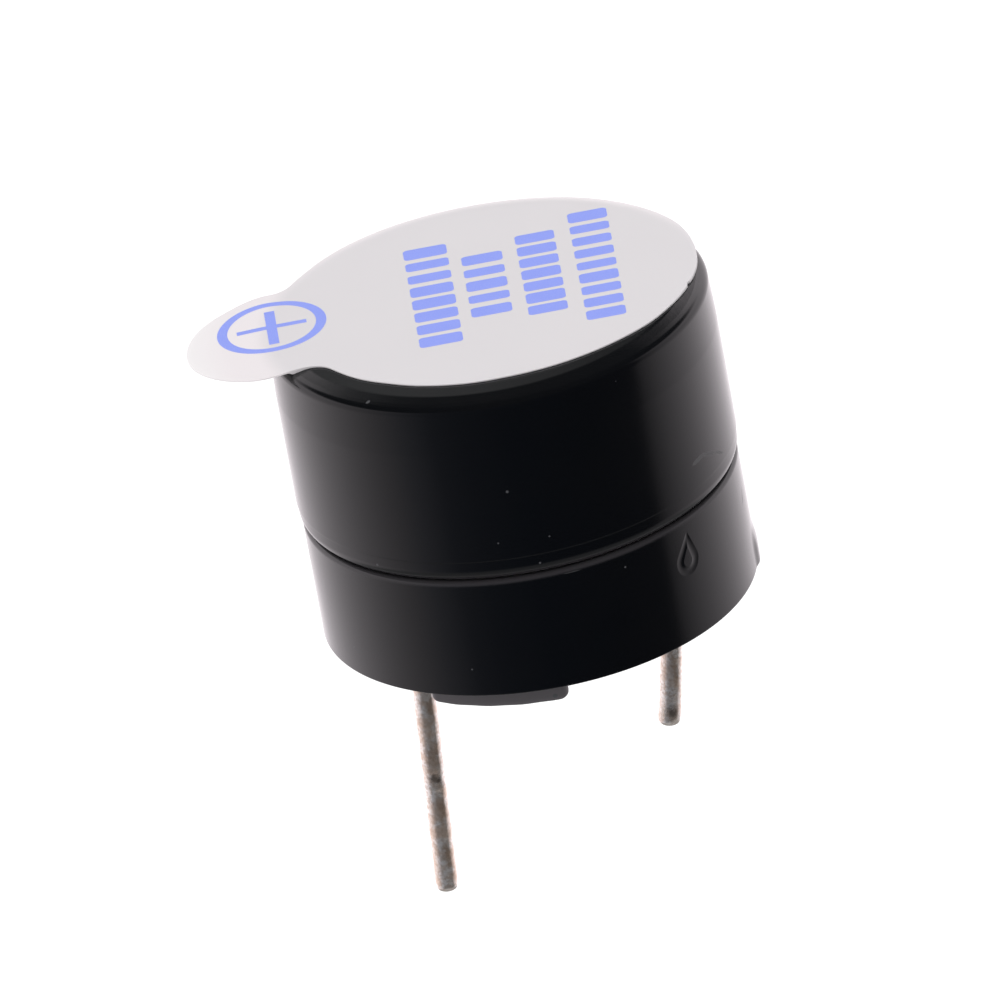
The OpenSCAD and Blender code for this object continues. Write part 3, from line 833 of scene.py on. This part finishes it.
# Two shallow swellings and a nick: (direction, half width, half width at full size, size)
swellings = [(-46, 34, 16, 0.045), (-127, 18, 6, 0.055), (-41, 1.6, 0.3, -0.05)]
for centre, none, full, outward in swellings:
    aside = (edge_turn - radians(centre) + seal_azimuth + pi) % (2 * pi) - pi
    swell = outward * soft_step(np.abs(aside), radians(none), radians(full))
    outline *= (1 + swell / seal_r)[:, None]
print("pulled by", neck_pull, "mm, with", len(swellings), "marks along the edge")

# %% Height of the film
flat_r, film_t, film_z = case_r - 0.4, 0.05, crown_z + 0.051
bend, corner_bend, corner_turn, corner_width = 0.26, 0.1, radians(15), radians(20)
tab_blend, tab_start, tab_length, tab_sag = 4.4, 5.75, 3.25, 0.16


def film_drop(x, y):
    """How far the film has come down at a place, in mm."""
    out, turn = np.hypot(x, y), np.arctan2(y, x)
    bends = bend + corner_bend * np.exp(-((turn - corner_turn) / corner_width) ** 2)
    rim = bends * np.clip(out - flat_r, 0, None) ** 2
    along = (x - seal_x) * cos(seal_azimuth) + (y - seal_y) * sin(seal_azimuth)
    tab = tab_sag * (np.clip(along - tab_start, 0, None) / tab_length) ** 1.5
    share = soft_step(along, tab_blend, tab_start)
    return rim * (1 - share) + tab * share


print("film comes down", round(float(film_drop(0, seal_y + seal_r)), 2), "mm at the back")

# %% Glue under the edge
glued_r, glued_fall = 5.75, 0.0764
glue_radii = [*(r for r, _, _ in reversed(crown)), glued_r]
glue_falls = [*(fall for _, fall, _ in reversed(crown)), glued_fall]


def glue_under(x, y):
    """How far the glue reaches down to the sloping crown, where the film doesn't."""
    out = np.hypot(x, y)
    gap = np.interp(out, glue_radii, glue_falls) - film_drop(x, y)
    return np.clip(gap, 0, None) * (1 - soft_step(out, 5.76, 5.9))


print("glue up to", round(float(glue_under(glued_r, 0)), 3), "mm thick")

# %% Loops of the film
def seal_loop(share, inset, height, glued=0):
    """The outline, shrunk towards the middle, then shortened by inset, at a height of film."""
    size = np.linalg.norm(outline, axis=1)
    flat = outline * (share - inset / size)[:, None]
    x = seal_x + flat[:, 0] * cos(seal_azimuth) - flat[:, 1] * sin(seal_azimuth)
    y = seal_y + flat[:, 0] * sin(seal_azimuth) + flat[:, 1] * cos(seal_azimuth)
    return list(zip(x, y, film_z + height - film_drop(x, y) - glued * glue_under(x, y)))


shares = [0.02, 0.2, 0.4, 0.55, *np.linspace(0.64, 1, 25)]
top_loops = [seal_loop(s, 0.014, 0) for s in shares]
edge_loops = [seal_loop(1, 0.004, -0.004), seal_loop(1, 0, -0.01),
              seal_loop(1, 0, -film_t + 0.01, 1), seal_loop(1, 0.004, -film_t + 0.004, 1)]
under_loops = [seal_loop(s, 0.014, -film_t, 1) for s in reversed(shares)]
film_mesh = lofted("wash_seal", top_loops + edge_loops + under_loops)
print("film:", len(film_mesh.polygons), "faces")

# %% [markdown]
# ### Film
# The film is white and slightly see-through: where it lies on the black case it is a little
# greyer, because the black shows through. Where it hangs over it is painted lighter, and lightest
# on the free tab: partly the film's own white with nothing black under it, partly painted light,
# for light that passes through the film from below. Light that really passes through would show
# this too, but slowly and with noise, so two masks by the distance from the axis of the case
# make the difference. The surface is satin, with a fine grain.

# %% Film material
# The lighter whites past the case and on the tab are partly the film's own white, partly painted
# light passing through the film from below.
on_case, overhang_white_and_painted_backlight, painted_backlit_tab_white = (0.722, 0.694, 0.712), (0.842, 0.79, 0.81), (0.878, 0.85, 0.857)
dull_white = (0.66, 0.64, 0.64)
# Where each white begins and is full, by the distance from the axis in mm
free_from, free_to, tab_from, tab_to = 5.75, 6.4, 6.8, 8.2


def film_material():
    """White film that lets a little of the black under it through, painted lighter where it hangs
    free, as painted light passing through it from below.
    """
    material, tree, shader = new_material("film")
    flat = calc_vector(tree, "MULTIPLY", on_object(tree), (1, 1, 0))
    out = calc_vector(tree, "LENGTH", flat)
    uneven = group(tree, grain, patch_size=2.5 * MM, grain_size=0.05 * MM, low=0.42, high=0.5)
    free = ramp(tree, out, free_from * MM, free_to * MM)
    far = ramp(tree, out, tab_from * MM, tab_to * MM)
    # Painted light: past the case and most on the free tab the film is painted lighter, for light
    # passing through it from below.
    colour = blend_colour(tree, free, on_case, overhang_white_and_painted_backlight)
    colour = blend_colour(tree, far, colour, painted_backlit_tab_white)
    tone = calc(tree, "MULTIPLY", 0.05, uneven["Patches"])
    colour = blend_colour(tree, tone, colour, dull_white)
    joined_up(tree, shader, colour, uneven["Roughness"], uneven["Grain"], 0.05, 0.01)
    shader.inputs["IOR"].default_value = 1.45
    return material


film_mesh.materials.append(film_material())
wash_seal = part("wash_seal", film_mesh)
report_mesh(wash_seal)

# %% [markdown]
# ### Print on the seal
# The tab carries the polarity mark, a plus in a ring beside the longer pin, and the disc has four
# rows of print. Ink could be a colour in the film's material, but thin shapes of their own keep
# crisp edges at any distance. The rows are plain rounded blocks of ink, placed by a Geometry Nodes
# tree as instances along a line, with random widths from a fixed seed. A second tree lays all the
# ink on the film: it drops every point on the film and lifts it by the ink's thickness.

# %% Ink
full_blue, thin_blue = (0.27, 0.345, 0.93), (0.5, 0.56, 0.95)


def ink_material():
    """Blue ink, thinner in places."""
    material, tree, shader = new_material("blue_ink")
    uneven = group(tree, grain, patch_size=0.5 * MM, grain_size=0.03 * MM, low=0.4, high=0.55)
    thin = ramp(tree, uneven["Grain"], 0.45, 0.75, 0, 0.3)
    tree.links.new(blend_colour(tree, thin, full_blue, thin_blue), shader.inputs["Base Color"])
    tree.links.new(uneven["Roughness"], shader.inputs["Roughness"])
    return material


ink = ink_material()
print("finish:", ink.name)

# %% Flat shapes of ink
across_rows, along_rows = Vector((0.940, -0.342)), Vector((0.342, 0.940))
ink_low, ink_high = -0.03, 0.003


def ink_shape(name, outline_2d):
    """A flat shape of ink with an outline in mm. It reaches a little into the film."""
    return lofted(name, [[(x, y, z) for x, y in outline_2d] for z in (ink_low, ink_high)])


print("ink stands", ink_high, "mm above the film")

# %% Rows of ink blocks
def ink_row_tree():
    """Repeats a block along a line, with random widths."""
    tree, takes, gives = new_tree("ink_row", "GeometryNodeTree", [
        ("Block", "Geometry"), ("Start", "Vector"), ("End", "Vector"), ("Count", "Int", 5),
        ("Turn", "Float", 0.0), ("Least width", "Float", 0.6), ("Seed", "Int", 0),
        ("Finish", "Material")], [("Shape", "Geometry")])
    line = put(tree, "GeometryNodeMeshLine", {
        "Count": takes["Count"], "Start Location": takes["Start"], "Offset": takes["End"]},
        mode="END_POINTS")
    width = put(tree, "FunctionNodeRandomValue", {2: takes["Least width"], 3: 1.0,
                                                  "Seed": takes["Seed"]}, data_type="FLOAT")
    blocks = put(tree, "GeometryNodeInstanceOnPoints", {
        "Points": line.outputs[0], "Instance": takes["Block"],
        "Rotation": vector_of(tree, z=takes["Turn"]),
        "Scale": vector_of(tree, width.outputs[1], 1.0, 1.0)})
    return end_tree(tree, blocks, takes, gives)


ink_row = ink_row_tree()
print(ink_row.name, "has", len(ink_row.nodes), "nodes")

# %% Four rows
# (near side, far side, start, end) in mm from the axis
rows = [(-1.97, -0.79, -2.15, 4.1), (-0.46, 0.65, -0.92, 3.1), (1.05, 2.12, -1.4, 3.75),
        (2.55, 3.62, -2.35, 4.5)]
pitch, block_width, block_corner, least_width = 0.78, 0.62, 0.12, 0.72
ink_parts = []
for number, (near, far, start, end) in enumerate(rows):
    many = round((end - start) / pitch)
    step = (end - start) / many
    x, y = block_width / 2, (far - near) / 2
    block = rounded([(*place, block_corner) for place in ((-x, -y), (x, -y), (x, y), (-x, y))],
                    steps=4)
    middle = across_rows * (near + far) / 2
    ends = [(middle + along_rows * v) * MM for v in (start + step / 2, end - step / 2)]
    ink_parts.append(grown("ink_row", ink_row, {
        "Start": (*ends[0], 0), "End": (*ends[1], 0), "Count": many,
        "Turn": atan2(along_rows.y, along_rows.x), "Least width": least_width,
        "Seed": 3 + number, "Finish": ink}, ink_shape("block", block)))
    print("row", number + 1, "has", many, "blocks")

# %% Ring and plus
mark_across, mark_along = -5.78, 0.92
mark = across_rows * mark_across + along_rows * mark_along
ring_outer, thick_side, thin_side = 1.49, 0.28, 0.225


def ring_loop(in_u, in_v, z):
    """An oval inside the ring's outer edge, by in_u across the rows and in_v along them."""
    return [(*(mark + across_rows * (ring_outer - in_u) * cos(t)
               + along_rows * (ring_outer - in_v) * sin(t)), z)
            for t in np.linspace(0, 2 * pi, 97)[:-1]]


ring_loops = [ring_loop(0, 0, ink_low), ring_loop(0, 0, ink_high),
              ring_loop(thick_side, thin_side, ink_high),
              ring_loop(thick_side, thin_side, ink_low)]
ink_parts.append(part("ring", lofted("ring", ring_loops, ring=True)))

arm, low_arm, half_u, half_v = 0.95, 1.05, 0.14, 0.1
cross = [Vector(p) for p in (
    (arm, half_v), (half_u, half_v), (half_u, arm), (-half_u, arm), (-half_u, half_v),
    (-arm, half_v), (-arm, -half_v), (-half_u, -half_v), (-half_u, -low_arm),
    (half_u, -low_arm), (half_u, -half_v), (arm, -half_v))]
plus = [mark + across_rows * p.x + along_rows * p.y for p in finer(cross, 0.1)]
ink_parts.append(part("plus", ink_shape("plus", plus)))
for piece in ink_parts[-2:]:
    piece.data.materials.append(ink)
print("ring", 2 * ring_outer, "mm across")

# %% Lay the ink on the film
ray_start, ray_length = 20 * MM, 50 * MM


def lay_on_tree():
    """Lays a flat print on the film: each point falls on it and keeps its own height above."""
    tree, takes, gives = new_tree("lay_on", "GeometryNodeTree", [
        ("Print", "Geometry"), ("Film", "Object"), ("Finish", "Material")],
        [("Shape", "Geometry")])
    here = xyz_of(tree, put(tree, "GeometryNodeInputPosition").outputs[0])
    film_shape = put(tree, "GeometryNodeObjectInfo", {"Object": takes["Film"]})
    hit = put(tree, "GeometryNodeRaycast", {
        "Target Geometry": film_shape.outputs["Geometry"],
        "Source Position": vector_of(tree, here["X"], here["Y"], ray_start),
        "Ray Direction": (0, 0, -1), "Ray Length": ray_length})
    on_film = xyz_of(tree, hit.outputs["Hit Position"])["Z"]
    shape = put(tree, "GeometryNodeSetPosition", {
        "Geometry": takes["Print"], "Position": vector_of(
            tree, here["X"], here["Y"], calc(tree, "ADD", on_film, here["Z"]))})
    return end_tree(tree, shape, takes, gives)


all_ink = bmesh.new()
for piece in ink_parts:
    all_ink.from_mesh(piece.data)
    bpy.data.objects.remove(piece)
flat_print = bpy.data.meshes.new("flat_print")
all_ink.to_mesh(flat_print)
all_ink.free()
seal_print = grown("seal_print", lay_on_tree(), {"Film": wash_seal, "Finish": ink}, flat_print)
report_mesh(seal_print)

# %% [markdown]
# ## Pins
# The pins are tinned wire, cast into the floor and bent over by handling: the longer one a
# little, the shorter one more. Each is a circle swept along its own bent path by a Geometry Nodes
# tree. A curve with a bevel would do too, but the path here carries a width at every point, which
# rounds the cut ends, swells the end of the short pin where the cutter squeezed it, and makes the
# soft dent in the long one.

# %% Sizes and directions of a pin
pin_r, elbow_z, pin_top, lean_azimuth = 0.3, 0.23, 3.45, radians(160)
elbow_soft, tip_round = 0.35, 0.16
lean_way = Vector((cos(lean_azimuth), sin(lean_azimuth), 0))


def bell(value, middle, half):
    """1 at the middle, falling softly towards 0 beyond half on both sides."""
    return exp(-(((value - middle) / half) ** 2))


def down_pin(lean):
    """The direction of a pin below its elbow."""
    return Vector((0, 0, -1)) * cos(radians(lean)) + lean_way * sin(radians(lean))


print("pin", 2 * pin_r, "mm thick, from", pin_top, "mm up, bent at", elbow_z, "mm")

# %% Path of a pin
step_length = 0.06
# Slow waves of the drawn wire: (share of its width, turn per mm, start)
waves = [(0.012, 4.1, 0), (0.008, 9.7, 1)]


def pin_path(name, x, length, lean, dents, sideways):
    """A chain of points down the pin. dents are (distance from the elbow, half length, change)."""
    down, elbow = down_pin(lean), Vector((x, 0, elbow_z))
    above = Vector((0, 0, elbow_soft))
    chain = [(-3, Vector((x, 0, z)), 1) for z in (pin_top, 2.4, 1.4, elbow_z + elbow_soft + 0.05)]
    for k in range(9):
        t = k / 8
        chain.append((0, elbow + above * (1 - t) ** 2 + down * elbow_soft * t * t, 1))
    for far in np.arange(elbow_soft + step_length, length - tip_round, step_length):
        chain.append((far, elbow + down * far,
                      1 + sum(size * sin(turn * far + start) for size, turn, start in waves)))
    for k in range(11):
        t = radians(9 * k)
        far = length - 0.012 - tip_round * (1 - sin(t))
        chain.append((far, elbow + down * far, 0.5 + 0.5 * cos(t)))
    chain.append((length, elbow + down * length, 0.05))
    widths = [width * (1 + sum(change * bell(far, at, half) for at, half, change in dents))
              for far, _, width in chain]
    mesh = bpy.data.meshes.new(name)
    mesh.from_pydata([tuple((p + lean_way * sideways * bell(far, length, 0.35)) * MM)
                      for far, p, _ in chain],
                     [(i, i + 1) for i in range(len(chain) - 1)], [])
    mesh.attributes.new("width", "FLOAT", "POINT").data.foreach_set("value", widths)
    return mesh


print("helper:", pin_path.__name__)

# %% A tree that makes wire of a path
def wire_tree():
    """Sweeps a circle along a path, as wide at each point as the path says."""
    tree, takes, gives = new_tree("bent_wire", "GeometryNodeTree", [
        ("Path", "Geometry"), ("Radius", "Float", 3e-4), ("Sides", "Int", 48),
        ("Finish", "Material")], [("Shape", "Geometry")])
    curve = put(tree, "GeometryNodeMeshToCurve", {0: takes["Path"]})
    width = put(tree, "GeometryNodeInputNamedAttribute", {"Name": "width"}, data_type="FLOAT")
    circle = put(tree, "GeometryNodeCurvePrimitiveCircle", {"Resolution": takes["Sides"],
                                                            "Radius": takes["Radius"]})
    shape = put(tree, "GeometryNodeCurveToMesh", {
        "Curve": curve.outputs[0], "Profile Curve": circle.outputs[0],
        "Scale": width.outputs["Attribute"], "Fill Caps": True})
    return end_tree(tree, shape, takes, gives)


bent_wire = wire_tree()
print(bent_wire.name, "has", len(bent_wire.nodes), "nodes")

# %% [markdown]
# ### Tin on the pins
# Hot tin sets with blotches: bright, dull and slightly brown where the copper alloy shows
# through. One plain metal would look like chrome, so the noise of the grain group mixes two
# colours of tin. Its oxide scatters some light too, so it is a little less than fully metallic.
# One more shader group makes a soft spot anywhere: for the dark scrape on the long pin and the
# bright ring below it, for brown streaks down the pins a little right of their middle, for the
# stained end of the short pin, for the lighter tips of both pins, and for a painted highlight on
# the left of the short pin's swollen end.

# %% A spot anywhere
def spot_group():
    """A soft-edged ragged spot with its own centre and size along X, Y and Z."""
    tree, takes, gives = new_tree("spot", "ShaderNodeTree", [
        ("Centre", "Vector"), ("Size", "Vector"), ("Ragged", "Float", 0.3)], [("Mask", "Float")])
    place = on_object(tree)
    aside = calc_vector(tree, "SUBTRACT", place, takes["Centre"])
    far = calc_vector(tree, "LENGTH", calc_vector(tree, "DIVIDE", aside, takes["Size"]))
    noise = put(tree, "ShaderNodeTexNoise", {"Vector": place, "Scale": 9000.0, "Detail": 3.0})
    rag = calc(tree, "MULTIPLY", takes["Ragged"],
               calc(tree, "SUBTRACT", noise.outputs["Fac"], 0.5))
    far = calc(tree, "MULTIPLY_ADD", rag, 2, far)
    tree.links.new(ramp(tree, far, 0.15, 1.05, 1, 0), gives["Mask"])
    return tree


spot = spot_group()
print(spot.name, "has", len(spot.nodes), "nodes")

# %% Tinned metal
bright_tin, brown_tin, grain_tin = (0.98, 0.93, 0.9), (0.79, 0.62, 0.51), (0.6, 0.46, 0.37)
# The lighter tin brightens the ring below the scrape and the tips, and paints a highlight on the
# left of the short pin's swollen end.
streak_brown, lighter_tin_and_highlight = (0.46, 0.32, 0.23), (0.85, 0.78, 0.7)
scrape_dark = (0.13, 0.105, 0.09)


def tinned(name, dark_spots, bright_spots, streak_spots, brown):
    """Blotched tin. Spots are (centre, size) in mm, brown is how much of it turned brown."""
    material, tree, shader = new_material(name)
    uneven = group(tree, grain, patch_size=0.32 * MM, grain_size=0.1 * MM, low=0.09, high=0.22)
    stain = calc(tree, "MULTIPLY", brown, uneven["Patches"])
    colour = blend_colour(tree, stain, bright_tin, brown_tin)
    speckle = ramp(tree, uneven["Grain"], 0.42, 0.62, 0, 0.52)
    colour = blend_colour(tree, speckle, colour, grain_tin)

    def masks(spots, ragged):
        """One mask for all these spots."""
        return strongest(tree, [group(
            tree, spot, centre=tuple(c * MM for c in centre), size=tuple(s * MM for s in size),
            ragged=ragged)["Mask"] for centre, size in spots])

    for spots, ragged, strength, tone in ((streak_spots, 0.9, 0.6, streak_brown),
                                          (bright_spots, 0.5, 0.6, lighter_tin_and_highlight),
                                          (dark_spots, 0.6, 0.85, scrape_dark)):
        mask = calc(tree, "MULTIPLY", strength, masks(spots, ragged))
        colour = blend_colour(tree, mask, colour, tone)
    rough = calc(tree, "MULTIPLY_ADD", mask, 0.3, uneven["Roughness"])
    joined_up(tree, shader, colour, rough, uneven["Grain"], 0.25, 0.03)
    shader.inputs["Metallic"].default_value = 0.81
    return material


print("tin", bright_tin, "to", brown_tin)

# %% Tin of each pin
long_lean, short_lean = 3.4, 10.2
front_way = Vector((back.x, back.y, 0)).normalized()


def spots_on(x, lean, spots):
    """Centre and size of spots (far from the elbow, across, in front of the axis, size)."""
    elbow = Vector((x, 0, elbow_z))
    return [(tuple(elbow + down_pin(lean) * far + across * level_right + front * front_way), size)
            for far, across, front, size in spots]


tins = [tinned(name, *(spots_on(x, lean, spots) for spots in kinds), brown)
        for name, x, lean, kinds, brown in (
            ("long_tin", pin_places[0], long_lean, (
                [(3.6, 0.02, 0.3, (0.26, 0.3, 0.2)), (3.66, 0.12, 0.3, (0.14, 0.3, 0.12))],
                [(3.9, 0, 0.3, (0.3, 0.3, 0.045)), (7.05, 0, 0, (0.4, 0.4, 0.12))],
                # Brown streaks down the front of the pin, a little right of its middle
                [(1.5, 0.12, 0.3, (0.15, 0.3, 0.5)), (2.85, 0, 0.3, (0.3, 0.3, 0.4)),
                 (4.5, 0.1, 0.3, (0.18, 0.3, 0.5)), (5.9, 0.1, 0.3, (0.16, 0.3, 0.45))]), 0.9),
            ("short_tin", pin_places[1], short_lean, (
                [(4.31, 0.04, 0.3, (0.22, 0.3, 0.3))],
                # The second spot is a painted highlight on the left of the swollen end.
                [(4.72, 0, 0, (0.5, 0.5, 0.24)), (4.3, -0.2, 0.3, (0.16, 0.3, 0.25))],
                # A brown streak down the front of the pin, a little right of its middle
                [(3.1, 0.08, 0.3, (0.13, 0.3, 0.9))]), 0.75))]
print("finishes:", *(tin.name for tin in tins))

# %% Both pins
long_length, short_length, pin_sides = 7.085, 4.765, 56
long_path = pin_path("long_path", pin_places[0], long_length, long_lean,
                     [(3.6, 0.16, -0.05), (3.9, 0.06, 0.035)], 0.0)
short_path = pin_path("short_path", pin_places[1], short_length, short_lean,
                      [(4.4, 0.2, 0.05), (2.2, 0.5, -0.015)], 0.03)
long_pin, short_pin = (
    grown(name, bent_wire, {"Radius": pin_r * MM, "Sides": pin_sides, "Finish": tin}, path)
    for name, tin, path in zip(("long_pin", "short_pin"), tins, (long_path, short_path)))
for piece in (long_pin, short_pin):
    report_mesh(piece)

# %% [markdown]
# ## The drive inside
# Nothing of the drive shows from outside, but whoever opens the model finds it finished. Its
# shapes are the CAD model's own. Each kind of stuff needs its own surface: the iron plate and
# pole are plated, the magnet is dark sintered ferrite, the diaphragm is rolled steel, and the
# windings have enamel over copper. One builder makes them all from a table of values, with the
# same grain group as outside, so that the table is the place to change a finish.

# %% Finishes of the inner parts
# name: light colour, dark colour, metallic, roughness from and to, size of grain in mm, bump
finishes = {
    "spring_steel": ((0.56, 0.57, 0.58), (0.42, 0.43, 0.44), 1.0, 0.22, 0.32, 0.05, 0.1),
    "plated_iron": ((0.6, 0.59, 0.56), (0.45, 0.44, 0.42), 1.0, 0.28, 0.42, 0.06, 0.15),
    "ring_aluminium": ((0.78, 0.77, 0.74), (0.66, 0.65, 0.63), 1.0, 0.25, 0.4, 0.06, 0.15),
    "magnet_ferrite": ((0.055, 0.053, 0.052), (0.03, 0.03, 0.031), 0.0, 0.55, 0.75, 0.05, 0.5),
    "bobbin_plastic": ((0.72, 0.69, 0.6), (0.62, 0.59, 0.5), 0.0, 0.38, 0.5, 0.1, 0.15),
    "copper_wire": ((0.72, 0.32, 0.12), (0.5, 0.17, 0.06), 0.8, 0.22, 0.36, 0.05, 0.1),
    "chip_plastic": ((0.022, 0.022, 0.023), (0.014, 0.014, 0.015), 0.0, 0.5, 0.65, 0.04, 0.4),
    "chip_ceramic": ((0.03, 0.03, 0.034), (0.018, 0.018, 0.02), 0.0, 0.35, 0.5, 0.04, 0.2),
    "tinned_metal": ((0.72, 0.71, 0.69), (0.56, 0.54, 0.52), 1.0, 0.25, 0.4, 0.05, 0.2),
    "solder": ((0.74, 0.74, 0.73), (0.6, 0.6, 0.6), 1.0, 0.16, 0.28, 0.12, 0.2),
    "potting_resin": ((0.014, 0.014, 0.015), (0.008, 0.008, 0.009), 0.0, 0.12, 0.24, 0.3, 0.3)}


def plain_finish(name, light, dark, metallic, low, high, size, relief):
    """A finish blotched between a light and a dark colour, with a grain of this size."""
    material, tree, shader = new_material(name)
    uneven = group(tree, grain, patch_size=12 * size * MM, grain_size=size * MM, low=low,
                   high=high)
    share = calc(tree, "MULTIPLY", 0.5, calc(tree, "ADD", uneven["Patches"], uneven["Grain"]))
    joined_up(tree, shader, blend_colour(tree, share, light, dark), uneven["Roughness"],
              uneven["Grain"], relief)
    shader.inputs["Metallic"].default_value = metallic
    return material


inner = {name: plain_finish(name, *values) for name, values in finishes.items()}
print(len(inner), "inner finishes")

# %% [markdown]
# ### Laminate of the circuit board
# The board is glass cloth in resin, so a fine weave shows through: two sets of threads that
# cross. Threads of real geometry would be far too many for a part that is so small, so two wave
# patterns make them. Round each pin and lead wire there is a tinned pad, drawn as a mask by the
# distance from its hole.

# %% Board
wire_r, wire_azimuths, big_pad, small_pad = 3.16, (250, 270, 290), 0.75, 0.42
light_resin, dark_resin, pad_tin = (0.62, 0.5, 0.26), (0.5, 0.39, 0.17), (0.74, 0.73, 0.7)


def board_material():
    """Woven glass in resin, with tinned pads round the holes."""
    material, tree, shader = new_material("board_laminate")
    threads = [put(tree, "ShaderNodeTexWave", {
        "Vector": on_object(tree), "Scale": 900.0, "Distortion": 1.5, "Detail": 1.0},
        bands_direction=way).outputs["Fac"] for way in ("X", "Y")]
    weave = calc(tree, "MULTIPLY", threads[0], threads[1])
    uneven = group(tree, grain, patch_size=1.5 * MM, grain_size=0.08 * MM, low=0.38, high=0.5)
    colour = blend_colour(tree, weave, dark_resin, light_resin)
    holes = [(x, 0, big_pad) for x in pin_places] + [
        (wire_r * cos(radians(a)), wire_r * sin(radians(a)), small_pad) for a in wire_azimuths]
    pads = strongest(tree, [group(tree, spot, centre=(x * MM, y * MM, ledge_z * MM),
                                  size=(r * MM, r * MM, 0.3 * MM), ragged=0.02)["Mask"]
                            for x, y, r in holes])
    colour = blend_colour(tree, pads, colour, pad_tin)
    joined_up(tree, shader, colour, uneven["Roughness"], weave, 0.2)
    tree.links.new(calc(tree, "MULTIPLY", pads, 0.9), shader.inputs["Metallic"])
    return material


inner["board_laminate"] = board_material()
print("board with", len(pin_places) + len(wire_azimuths), "pads")

# %% Finish for each inner part
uses = {"diaphragm": "spring_steel", "diaphragm_weight": "plated_iron",
        "support_ring": "ring_aluminium", "magnet_ring": "magnet_ferrite",
        "yoke_plate": "plated_iron", "pole_core": "plated_iron", "coil_bobbin": "bobbin_plastic",
        "drive_coil": "copper_wire", "feedback_coil": "copper_wire", "coil_leads": "copper_wire",
        "circuit_board": "board_laminate", "transistor_body": "chip_plastic",
        "transistor_leads": "tinned_metal", "resistor_body": "chip_ceramic",
        "resistor_terminals": "tinned_metal", "solder_joints": "solder",
        "potting_seal": "potting_resin"}
for node, finish in uses.items():
    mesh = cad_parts[node].data
    mesh.materials.clear()
    mesh.materials.append(inner[finish])
print("finished", len(uses), "parts of the drive")

# %% [markdown]
# ## Put the pieces on the body
# Every piece made here rides on the one body of the buzzer, which has no joints: the seal and its
# tab are glued on. Each stands for one CAD part, apart from the print, which the CAD model leaves
# out. Sharp edges are marked by angle, so that the long walls shade smoothly while the edges of
# the film and the marks stay crisp.

# %% Pieces and CAD parts
sharp_from = radians(35)
handed = [(upper_shell, "case_plastic", "upper_case"), (lower_shell, "case_plastic", "lower_case"),
          (wash_seal, "seal_film", "seal_label"), (seal_print, "seal_film", None),
          (long_pin, "tinned_metal", "positive_pin"), (short_pin, "tinned_metal", "negative_pin")]
for piece, finish, node in handed:
    piece.data.shade_smooth()
    piece.data.set_sharp_from_angle(angle=sharp_from)
    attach(piece, "root")
    if node:
        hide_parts(node)
    print(piece.name, "stands for", node or "print only")
